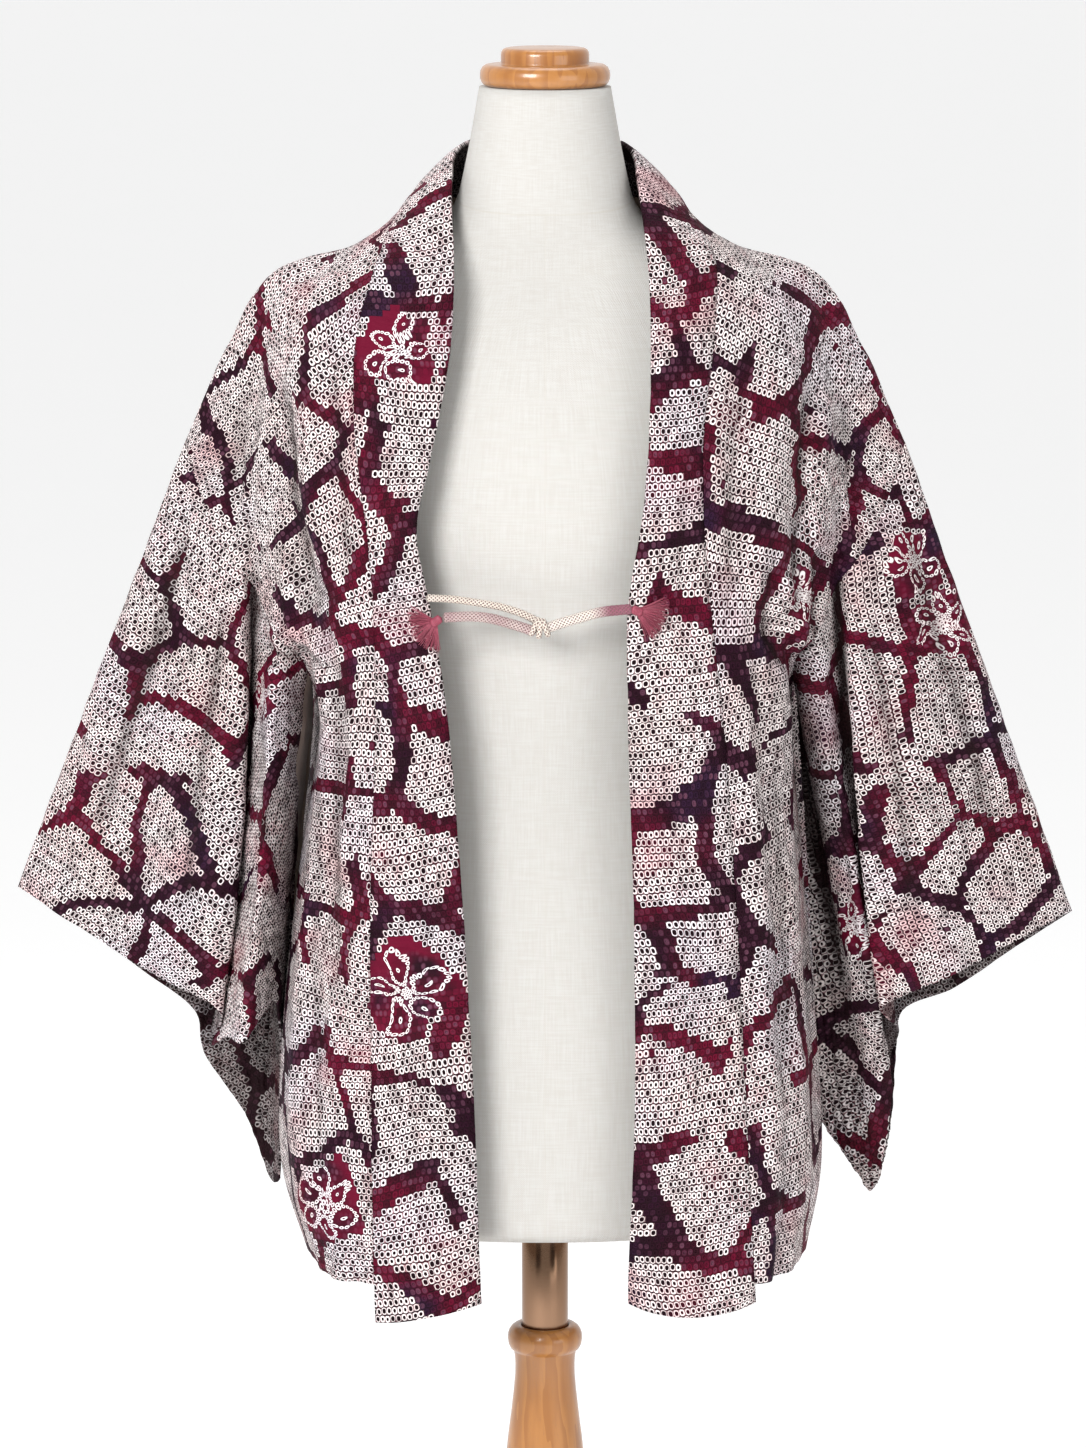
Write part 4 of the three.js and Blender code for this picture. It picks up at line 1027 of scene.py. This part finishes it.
def linen(colours):
    g = Graph("linen")
    x, y, z = g.parts(g.place())
    bearing = g.arctan2(y, x) * FORM_RADIUS
    thread = TURN / 0.0014
    weave = g.sine(bearing * thread) * g.sine(z * thread)
    slub = g.noise(g.whole(bearing * 40.0, z * 900.0), 1.0)
    slub_up = g.noise(g.whole(bearing * 900.0, z * 40.0, 3.0), 1.0)
    colour = g.mix(g.step(0.7, 1.35, weave * 0.1 + (slub + slub_up)), (0.51, 0.49, 0.46), colours.linen)
    # the seam down the middle of the front, and the one at the root of the neck
    above = z - (NECK_SEAM + y * NECK_SEAM_SLOPE)
    seam = g.step(0.0008, 0.0001, abs(x)) * g.step(0.0005, -0.0005, above)
    groove = g.maximum(seam * 0.6, g.step(0.0009, 0.0002, abs(above)))
    colour = g.mix(groove * 0.3, colour, (0.5, 0.46, 0.4))
    normal = g.bump(weave + (slub + slub_up) - groove, 0.00022, 0.5)
    return g.finish(colour, 0.92, normal, Sheen_Weight=0.03, Specular_IOR_Level=0.15)


def wood(colours):
    g = Graph("wood")
    x, y, z = g.parts(g.place())
    rings = g.noise(g.whole(x * 9.0, y * 9.0, z * 0.9), 4.0, 3.0)
    pores = g.noise(g.whole(x * 900.0, y * 900.0, z * 35.0), 1.0, 3.0)
    colour = g.mix(g.step(0.1, 0.9, g.fract(rings * 9.0)), colours.wood, colours.wood_dark)
    colour = g.mix(g.step(0.55, 0.75, pores) * 0.4, colour, (0.25, 0.12, 0.05))
    return g.finish(colour, 0.3, g.bump(pores, 0.0002, 0.25), Coat_Weight=0.35, Coat_Roughness=0.12)


def steel(colours):
    g = Graph("steel")
    x, y, z = g.parts(g.place())
    streak = g.noise(g.whole(g.arctan2(y, x) * 3.0, z * 900.0), 1.0, 3.0)
    # its brown base colour is painted reflection of warm surroundings
    return g.finish(colours.steel, 0.14 + streak * 0.14, g.bump(streak, 0.0001, 0.1), Metallic=1.0)


def braid(name, colour, other, change=None):
    """Fine silk plait, of two colours mixed, or of one that changes to the other along the cord."""
    g = Graph(name)
    u, v, _ = g.parts(g.uv())
    strand = TURN / 0.0026
    plait = g.maximum(g.sine((u + v) * strand), g.sine((u - v) * strand))
    fibre = g.noise(g.whole(u * 2600.0, v * 500.0), 1.0)
    tone = g.mix(g.step(*change, v) if change else g.noise(g.uv(), 60.0, 1.0), colour, other)
    # painted shade in the grooves between the plaited strands
    tone = g.mix(g.step(0.3, -0.3, plait), tone, (0.2, 0.08, 0.075))
    tone = g.mix(fibre * 0.12, tone, (0.9, 0.84, 0.8))
    return g.finish(tone, 0.55, g.bump(plait + fibre, 0.0006), Sheen_Weight=0.05)


def tassel_silk(colour, other):
    g = Graph("tassel_silk")
    fine = g.noise(g.place() * (1500.0, 400.0, 1500.0), 1.0)
    return g.finish(g.mix(fine, colour, other), 0.5, Sheen_Weight=0.05)


def plaster(name, colour):
    g = Graph(name)
    tone = g.mix(g.noise(g.place(), 2.0), colour, tuple(0.985 * part for part in colour))
    return g.finish(tone, 0.6, Emission_Color=(1, 1, 1), Emission_Strength=GLOW)


# ---- The cord that ties the fronts, and its tassels ----

# node, radius, route of (x, y, z)
CORDS = (
    ("cord_right_upper", 2.5, (
        (-77, -129.6, 1100), (-60, -129.3, 1099), (-44, -128.6, 1096.6),
        (-28, -127.5, 1093.5), (-15, -126.6, 1089), (-6, -126, 1084.5),
    )),
    ("cord_right_lower", 3.4, (
        (-66, -131.4, 1087.3), (-48, -131.2, 1088), (-36, -130.6, 1086.6),
        (-28, -130, 1084.5), (-17, -129, 1081), (-7, -128, 1077.6),
    )),
    ("cord_left", 3.5, (
        (2, -127.5, 1080), (11, -128.2, 1083.2), (20, -129, 1086),
        (38, -130.6, 1091), (47, -130.6, 1092), (56, -130.6, 1092.8),
    )),
)
# the turns of cord in the knot: middle, half height, tilt
KNOT_TURNS = (
    ((-7.0, -127.4, 1080.6), 4.6, 0.5),
    ((-3.4, -127.6, 1079.4), 5.2, 0.15),
    ((0.4, -127.4, 1079.8), 4.5, -0.35),
)
# where the head starts, the way the tassel points, the spread of its fan in radians, its length
TASSELS = {
    "tassel_right": ((-69.2, -131.6, 1086.4), (-0.82, 0, -0.57), 2.1, 18),
    "tassel_left": ((57.9, -130.9, 1092.5), (0.92, 0, -0.36), 1.35, 20),
}
TASSEL_STRANDS = 130
STRAND_RINGS = 5
STRAND_RADIUS = 0.42
HEAD_RADIUS = 2.9
HEAD_FLATNESS = 0.85
FORWARD = np.array((0, -1, 0))


def round_route(middle, a, b):
    """A closed route round a middle, through the ends of two half axes."""
    turns = TURN * np.arange(10) / 10
    return [np.asarray(middle) + math.cos(turn) * a + math.sin(turn) * b for turn in turns]


def knot_piece(material):
    parts = []
    for count, (middle, height, tilt) in enumerate(KNOT_TURNS):
        route = round_route(middle, np.array((0, 0.72 * height, 0)), np.array((tilt * height, 0, height)))
        parts.append(tube(f"turn_{count}", route, 1.9, 12, 0.9, material, closed=True))
    return joined("cord_knot.silk", parts)


def tassel_piece(name, start, main, spread, full_length, material):
    """A bound head, and fine strands that fan out of it over the collar."""
    main = np.array(main) / np.linalg.norm(main)
    aside = np.cross(FORWARD, main)
    neck = start + main * 5
    luck = np.random.default_rng(len(name))
    points, faces = [], []
    for strand in range(TASSEL_STRANDS):
        share = strand / (TASSEL_STRANDS - 1) - 0.5
        angle = share * spread + luck.uniform(-0.09, 0.09)
        lift = luck.uniform(-0.2, 0.13)
        length = full_length * luck.uniform(0.8, 1.0)
        bend = luck.uniform(-0.15, 0.15)
        first = len(points)
        for far in np.linspace(0, 1, STRAND_RINGS):
            direction = main * math.cos(angle + bend * far) + aside * math.sin(angle + bend * far)
            middle = neck - main * 1.5 + aside * share * 4.5 + direction * length * far
            middle = middle + (0, lift * length * far * 0.9, -0.4 * far * far)
            width = STRAND_RADIUS * (1 - 0.55 * far)
            for corner in range(3):
                turn = TURN * corner / 3 + strand
                across = FORWARD * math.cos(turn) + np.cross(direction, FORWARD) * math.sin(turn)
                points.append(middle + width * across)
        last = first + 3 * STRAND_RINGS - 3
        for low in range(first, last, 3):
            for corner in range(3):
                beside = (corner + 1) % 3
                faces.append((low + corner, low + beside, low + 3 + beside, low + 3 + corner))
        faces += [(first + 2, first + 1, first), (last, last + 1, last + 2)]
    fan = make_object(name + "_fan", points, faces, [material])
    face_outwards(fan)
    route = (start - main * 0.5, start + main * 2.5, neck + main * 0.4)
    parts = [fan, tube(name + "_head", route, HEAD_RADIUS, 14, 0.7, material, flat=HEAD_FLATNESS)]
    for count in range(4):
        route = round_route(start + main * (1.2 + count), 2.75 * aside, 2.75 * HEAD_FLATNESS * FORWARD)
        parts.append(tube(f"{name}_wrap_{count}", route, 0.45, 6, 0.8, material, closed=True))
    return joined(name + ".silk", parts)


# ---- Dress form and stand ----

# height, half width, depth before, depth behind
FORM_RINGS = (
    (655, 146, 96, 100),
    (663, 151, 101, 105),
    (715, 153, 102, 107),
    (770, 152, 102, 108),
    (830, 147, 99, 105),
    (900, 136, 93, 98),
    (970, 125, 88, 89),
    (1030, 128, 92, 87),
    (1085, 139, 101, 90),
    (1130, 148, 104, 93),
    (1180, 159, 98, 93),
    (1225, 168, 85, 86),
    (1260, 173, 70, 76),
    (1285, 170, 57, 62),
    (1301.2, 154, 50, 52),
    (1311.2, 126, 49, 51),
    (1320.5, 95, 49, 51),
    (1332, 72, 51, 53),
    (1350, 59, 52, 54),
    (1385, 51, 48, 50),
    (1425, 44, 43, 43),
)
FORM_SQUARENESS = 2.25
FORM_SIDES = 120
FORM_STEP = 7
CAP_PROFILE = (
    (0, 1425.3), (37.5, 1425.3), (40.2, 1425.7), (42.3, 1427.6), (43.4, 1430.6), (43.5, 1433),
    (43.2, 1435.6), (42, 1438), (39.8, 1439.6), (37, 1440), (30.6, 1440), (29.6, 1440.3), (29.5, 1441.2),
    (29.5, 1446.4), (29.2, 1448), (28.2, 1449.6), (26.6, 1450.5), (25, 1450.8), (0, 1450.8),
)
COLUMN_PROFILE = (
    (0, 30.3), (28, 30.3), (31, 31.5), (33, 38), (33.4, 44), (33, 50), (30.5, 55), (26, 60), (23.2, 72),
    (22, 90), (22.2, 118), (24, 150), (26.8, 200), (30, 250), (32.4, 295), (33.5, 340), (33, 385),
    (31, 430), (28.6, 462), (25.8, 490), (23.4, 509), (21.6, 525), (20.7, 536), (20.6, 543), (21, 549),
    (21.6, 552.6), (21.9, 553.4), (23.8, 554.6), (25.2, 557.4), (25.8, 561), (25.6, 564.4), (24.8, 566.9),
    (23.4, 569), (21.5, 570.4), (18.5, 571), (17, 571), (16.3, 570.4), (16.3, 511), (0, 511),
)
FOOT_PROFILE = (
    (0, 0), (180, 0), (182.5, 0.8), (184.4, 3), (185, 6), (185, 19), (184.2, 23), (182, 26.6),
    (178.8, 29), (175, 30), (0, 30),
)
POLE_PROFILE = ((0, 511.3), (15.4, 511.3), (16, 512), (16, 654), (15.4, 654.7), (0, 654.7))


def form_piece(material):
    heights = np.array([ring[0] for ring in FORM_RINGS], float)
    rows = evenly(np.stack((heights, heights * 0, heights * 0), axis=1), FORM_STEP, len(FORM_RINGS) - 1)
    z, half, front, back = (along([ring[k] for ring in FORM_RINGS], rows) for k in range(4))
    turn = TURN * np.arange(FORM_SIDES) / FORM_SIDES
    power = 2 / FORM_SQUARENESS
    cosine, sine = (np.sign(f(turn)) * np.abs(f(turn)) ** power for f in (np.cos, np.sin))
    depth = np.where(sine > 0, back[:, None], front[:, None])
    z = np.repeat(z[:, None], FORM_SIDES, axis=1)
    grid = np.stack((half[:, None] * cosine, depth * sine, z), axis=2)
    return spun("form_torso.linen", grid, FORM_RINGS[0][0], FORM_RINGS[-1][0], material)


# ---- Properties, operators and panel ----


def length_mm(name, default, low, high):
    shown = {"subtype": "DISTANCE", "unit": "LENGTH", "precision": 4}
    return FloatProperty(name=name, default=default, min=low, max=high, **shown)


def colour_of(name, default):
    return FloatVectorProperty(name=name, default=default, size=3, min=0, max=1, subtype="COLOR")


class HaoriSizes(bpy.types.PropertyGroup):
    grid: length_mm("Mesh step", 0.004, 0.002, 0.02)
    silk: length_mm("Silk thickness", 0.0016, 0.0005, 0.003)
    collar_silk: length_mm("Collar thickness", 0.003, 0.001, 0.005)
    dot_pitch: length_mm("Distance between tied points", 0.0043, 0.003, 0.01)
    field: length_mm("Width of a pale field", 0.066, 0.03, 0.3)
    band: length_mm("Width of a dark band", 0.0086, 0.004, 0.05)


class HaoriColours(bpy.types.PropertyGroup):
    ivory: colour_of("Pale rings", (0.97, 0.89, 0.88))
    blush: colour_of("Blushed rings", (0.70, 0.36, 0.38))
    worn: colour_of("Worn rings", (0.74, 0.60, 0.55))
    cool: colour_of("Cool rings", (0.84, 0.81, 0.93))
    plum: colour_of("Plum dye", (0.019, 0.002, 0.010))
    crimson: colour_of("Crimson dye", (0.115, 0.002, 0.018))
    violet: colour_of("Violet dye", (0.021, 0.006, 0.024))
    faded: colour_of("Faded dye", (0.125, 0.045, 0.075))
    # the dots' dye, and the painted shade in the grooves between rows
    shadow: colour_of("Dots and gaps", (0.011, 0.0015, 0.004))
    lining: colour_of("Lining", (0.50, 0.38, 0.29))
    linen: colour_of("Linen", (0.555, 0.547, 0.525))
    wood: colour_of("Wood", (0.40, 0.17, 0.044))
    wood_dark: colour_of("Wood grain", (0.325, 0.128, 0.032))
    # brown tint stands in for the warm surroundings seen in the pole: painted reflection
    steel: colour_of("Steel", (0.27, 0.16, 0.10))
    cord_cream: colour_of("Cream cord", (0.93, 0.84, 0.76))
    cord_mauve: colour_of("Mauve cord", (0.30, 0.06, 0.12))


# each piece's turn of the rows, how wide its dark bands are, its place on the bolt, and its flowers as they
# are seen from the front: middle (x, z), radius, petals, and the turn of the first petal
SILK = {
    "collar": (0.1, 1.45, (0.31, 2.27), (((-98, 1258), 27, 5, 0.1), ((-93, 836), 31, 5, 0.4))),
    "sleeve_right": (-0.35, 1.1, (4.1, 1.2), (((-188, 1020), 18, 5, 0.2),)),
    "sleeve_left": (
        1.45, 1.15, (7.4, 3.3),
        (((246, 1108), 24, 5, 0.3), ((268, 1066), 24, 6, 0.0), ((212, 860), 24, 5, 0.7)),
    ),
    "body_panel_right": (0.05, 1.05, (10.6, 5.1), (((-148, 684), 30, 6, 0.2),)),
    "body_panel_left": (-0.08, 1.3, (13.2, 8.7), (((173, 1092), 22, 5, 0.5),)),
    "gusset_right": (0.0, 1.2, (16.3, 2.1), ()),
    "gusset_left": (0.0, 1.2, (18.3, 4.1), ()),
}


def silk_for(node, grid, normals, u, v):
    """A piece's silk, with its flowers moved from where they are seen to where they lie on the cloth."""
    angle, dense, offset, seen = SILK[node]
    flowers = []
    for (x, z), size, petals, start in seen:
        off = np.hypot(grid[:, :, 0] - x, grid[:, :, 2] - z) + 1e3 * (normals[:, :, 1] > -0.15)
        spot = np.unravel_index(np.argmin(off), off.shape)
        flowers.append((u[spot] * MM, v[spot] * MM, size * MM, petals, start))
    scene = bpy.context.scene
    return shibori("silk_" + node, scene.haori_sizes, scene.haori_colours, angle, dense, offset, flowers)


def lining_cloth():
    return bpy.data.materials.get("lining") or lining(bpy.context.scene.haori_colours)


def seam_fade(count, width=6, both=True):
    """How free a row of points is to fold, from 0 at its sewn start, or at both ends, to 1."""
    place = np.arange(count)
    return smooth(place / width) * (smooth((count - 1 - place) / width) if both else 1)


def placed(piece, node):
    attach(piece, "root")
    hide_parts(node)
    return piece


CUT_FOLD = 9.5  # a sleeve is laid flat from the middle of its bottom edge
# below the right armhole the sleeve is open to the body and its lining shows: share of its width, and folds
LINED_SHARE = {"right": 0.3, "left": 0}
LINED_FOLDS = (7.15, 8.6)


def cloth(node, slot, flat, *given):
    """A piece of cloth in place of its node; flat, its width and length laid out in metres, is not used."""
    piece = placed(shell(node + ".silk", *given), node)


class MakePiece(bpy.types.Operator):
    bl_options = {"REGISTER", "UNDO"}

    @property
    def colours(self):
        return bpy.context.scene.haori_colours

    def millimetres(self, name):
        return getattr(bpy.context.scene.haori_sizes, name) / MM

    def execute(self, context):
        self.make(context.scene)
        return {"FINISHED"}


class MakeCollar(MakePiece):
    """The collar band, from the right hem round the neck to the left hem"""

    bl_idname = "haori.collar"
    bl_label = "Collar"

    def make(self, scene):
        grid, u, v = collar_grid(self.millimetres("grid"))
        free = 0.25 + 0.75 * seam_fade(u.shape[1], 3)[None, :]
        # painted shade in the collar's hollows and creases
        dark = shaded(grid, False)
        grid, lost = pressed("collar", grid, sheet_normals(grid, False), u, v, free)
        silk = silk_for("collar", grid, sheet_normals(grid, False), u, v)
        dark = np.maximum(dark, lost)
        thickness = self.millimetres("collar_silk")
        # the inner face is painted 0.85 dark as shade, where it turns in beside the neck
        cloth("collar", "silk_collar", (0.07, 1.78), grid, u, v, False, thickness, [silk, silk], dark, 0.85)


class MakeSleeves(MakePiece):
    """The two sleeves, each a tube hanging from its top fold"""

    bl_idname = "haori.sleeves"
    bl_label = "Sleeves"

    def make(self, scene):
        for side in SIDES:
            node = "sleeve_" + side
            grid, u, v, folds = sleeve_grid(side, self.millimetres("grid"))
            normals = sheet_normals(grid, True)
            # painted shade in the hollows and long folds of the sleeve
            dark = np.maximum(shaded(grid, True), fold_shade(side, folds, len(grid)))
            flat_u, flat_v, cut = laid_flat(grid, int(np.searchsorted(folds, CUT_FOLD)))
            grid, lost = pressed(node, grid, normals, u, v, seam_fade(len(grid), both=False)[:, None])
            silk = silk_for(node, grid, normals, flat_u, flat_v)
            open_rows = np.arange(len(grid)) < LINED_SHARE[side] * len(grid)
            lined = open_rows[:, None] & ((folds > LINED_FOLDS[0]) & (folds < LINED_FOLDS[1]))[None, :]
            # the inner face is painted 0.75 dark as shade inside the tube
            looks = [silk, silk, lining_cloth()], np.maximum(dark, lost), 0.75, lined, cut
            sheet = grid, flat_u, flat_v, True, self.millimetres("silk")
            cloth(node, "silk_shibori", (0.33, 0.56), *sheet, *looks)


class MakeBody(MakePiece):
    """The two body panels, each running over a shoulder, and the gussets between them"""

    bl_idname = "haori.body"
    bl_label = "Body panels and gussets"

    def make(self, scene):
        step, thickness = self.millimetres("grid"), self.millimetres("silk")
        for side in SIDES:
            node = "body_panel_" + side
            grid, u, v = body_grid(side, step)
            normals = sheet_normals(grid, False)
            # painted shade of the panel's hollows, kept weak
            dark = 0.35 * shaded(grid, False)
            flat_u, flat_v, _ = laid_flat(grid)
            grid, lost = pressed(node, grid, normals, u, v, seam_fade(u.shape[1])[None, :])
            silks = [silk_for(node, grid, normals, flat_u, flat_v), lining_cloth()]
            sheet = grid, flat_u, flat_v, False, thickness, silks, np.maximum(dark, lost)
            cloth(node, "silk_shibori", (0.19, 1.38), *sheet)
            node = "gusset_" + side
            grid, u, v = gusset_grid(side, step)
            silks = [silk_for(node, grid, sheet_normals(grid, False), u, v), lining_cloth()]
            # the whole gusset is painted darker as shade, where it lies under the arm
            dark = np.full(u.shape, 0.35)
            cloth(node, "silk_shibori", (0.06, 0.39), grid, u, v, False, thickness, silks, dark)


class MakeCord(MakePiece):
    """The plaited silk cord that ties the fronts, with its knot and tassels"""

    bl_idname = "haori.cord"
    bl_label = "Cord and tassels"

    def make(self, scene):
        cream, mauve = tuple(self.colours.cord_cream), tuple(self.colours.cord_mauve)
        finishes = {
            "cord_right_upper": (braid("plait_cream", cream, (0.80, 0.69, 0.57)), "cord_cream"),
            "cord_right_lower": (braid("plait_mauve", mauve, cream), "cord_mauve"),
            "cord_left": (braid("plait_changing", cream, mauve, (0.028, 0.044)), "cord_mauve"),
        }
        for node, radius, route in CORDS:
            material, slot = finishes[node]
            cord = tube(node + ".silk", route, radius, 16, 1.0, material, flat=0.85, lumps=0.03)
            placed(cord, node)
        placed(knot_piece(finishes["cord_right_upper"][0]), "cord_knot")
        fan = tassel_silk((0.15, 0.013, 0.033), (0.40, 0.075, 0.12))
        for name, facts in TASSELS.items():
            placed(tassel_piece(name, *facts, fan), name)


class MakeForm(MakePiece):
    """The padded dress form under its linen"""

    bl_idname = "haori.form"
    bl_label = "Dress form"

    def make(self, scene):
        placed(form_piece(linen(self.colours)), "form_torso")


class MakeStand(MakePiece):
    """The neck cap, pole, turned column and foot"""

    bl_idname = "haori.stand"
    bl_label = "Stand"

    def make(self, scene):
        grain = wood(self.colours)
        placed(turned("neck_cap.wood", CAP_PROFILE, 96, grain), "neck_cap")
        placed(turned("stand_column.wood", COLUMN_PROFILE, 72, grain), "stand_column")
        placed(turned("stand_foot.wood", FOOT_PROFILE, 128, grain), "stand_foot")
        placed(turned("stand_pole.steel", POLE_PROFILE, 64, steel(self.colours)), "stand_pole")


ROOM_LIGHT = 0.43
BACK_LIGHT = 1.0
FLOOR = 40  # half its width, in metres
GLOW = 0.24  # the floor is a white sheet lit from below
EYE = (-0.00136, -3.9, 1.69)
AIM = (-0.00136, 0, 0.993)
LENS = 144.85  # in millimetres
# place, size in metres, power in watts
LAMPS = {
    "key": ((-1.5, -2.9, 2.6), 1.3, 128),
    "fill": ((2.4, -2.6, 1.5), 2.0, 30),
    "top": ((0.0, 0.5, 3.6), 1.6, 26),
}


class MakeStage(MakePiece):
    """A pale floor, soft light and the camera"""

    bl_idname = "haori.stage"
    bl_label = "Stage"

    def make(self, scene):
        half = FLOOR / MM
        points = [(-half, -half, 0), (half, -half, 0), (half, half, 0), (-half, half, 0)]
        make_object("floor", points, [(0, 1, 2, 3)], [plaster("floor", (0.95, 0.95, 0.95))])
        studio_light(scene)
        data = bpy.data.cameras.new("camera")
        data.lens = LENS
        scene.camera = aimed(data, EYE, AIM)


def aimed(data, place, at):
    """A camera or lamp at its place, turned to look at a point."""
    thing = bpy.data.objects.new(data.name, data)
    thing.location = place
    thing.rotation_euler = (Vector(at) - Vector(place)).to_track_quat("-Z", "Y").to_euler()
    bpy.context.scene.collection.objects.link(thing)
    return thing


def studio_light(scene):
    """White light from behind, a dimmer room in front, and soft lamps."""
    scene.view_settings.view_transform = "Standard"
    world = bpy.data.worlds.new("studio")
    scene.world = world
    world.use_nodes = True
    nodes, links = world.node_tree.nodes, world.node_tree.links
    way = nodes.new("ShaderNodeSeparateXYZ")
    links.new(nodes.new("ShaderNodeTexCoord").outputs["Generated"], way.inputs[0])
    strength = nodes.new("ShaderNodeMapRange")
    strength.interpolation_type = "SMOOTHSTEP"
    levels = {"From Min": -0.3, "From Max": 0.7, "To Min": ROOM_LIGHT, "To Max": BACK_LIGHT}
    for name, level in levels.items():
        strength.inputs[name].default_value = level
    links.new(way.outputs[1], strength.inputs["Value"])
    background = nodes["Background"]
    background.inputs["Color"].default_value = (1, 1, 1, 1)
    links.new(strength.outputs["Result"], background.inputs["Strength"])
    for name, (place, size, power) in LAMPS.items():
        light = bpy.data.lights.new(name, "AREA")
        light.size = size
        light.energy = power
        aimed(light, place, (0, 0, 1))


class HaoriPanel(bpy.types.Panel):
    bl_idname = "VIEW3D_PT_haori"
    bl_label = "Haori"
    bl_space_type = "VIEW_3D"
    bl_region_type = "UI"
    bl_category = "Haori"

    def draw(self, context):
        for group in (context.scene.haori_sizes, context.scene.haori_colours):
            for name in group.__annotations__:
                self.layout.prop(group, name)
        for maker in MAKERS:
            self.layout.operator(maker.bl_idname)


MAKERS = (MakeStage, MakeForm, MakeStand, MakeBody, MakeSleeves, MakeCollar, MakeCord)
CLASSES = (HaoriSizes, HaoriColours, *MAKERS, HaoriPanel)


def register():
    for kind in CLASSES:
        bpy.utils.register_class(kind)
    bpy.types.Scene.haori_sizes = PointerProperty(type=HaoriSizes)
    bpy.types.Scene.haori_colours = PointerProperty(type=HaoriColours)


def unregister():
    del bpy.types.Scene.haori_colours
    del bpy.types.Scene.haori_sizes
    for kind in reversed(CLASSES):
        bpy.utils.unregister_class(kind)


def main():
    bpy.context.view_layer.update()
    register()
    for maker in MAKERS:
        group, name = maker.bl_idname.split(".")
        getattr(getattr(bpy.ops, group), name)()
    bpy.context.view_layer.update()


if __name__ == "__main__":
    main()
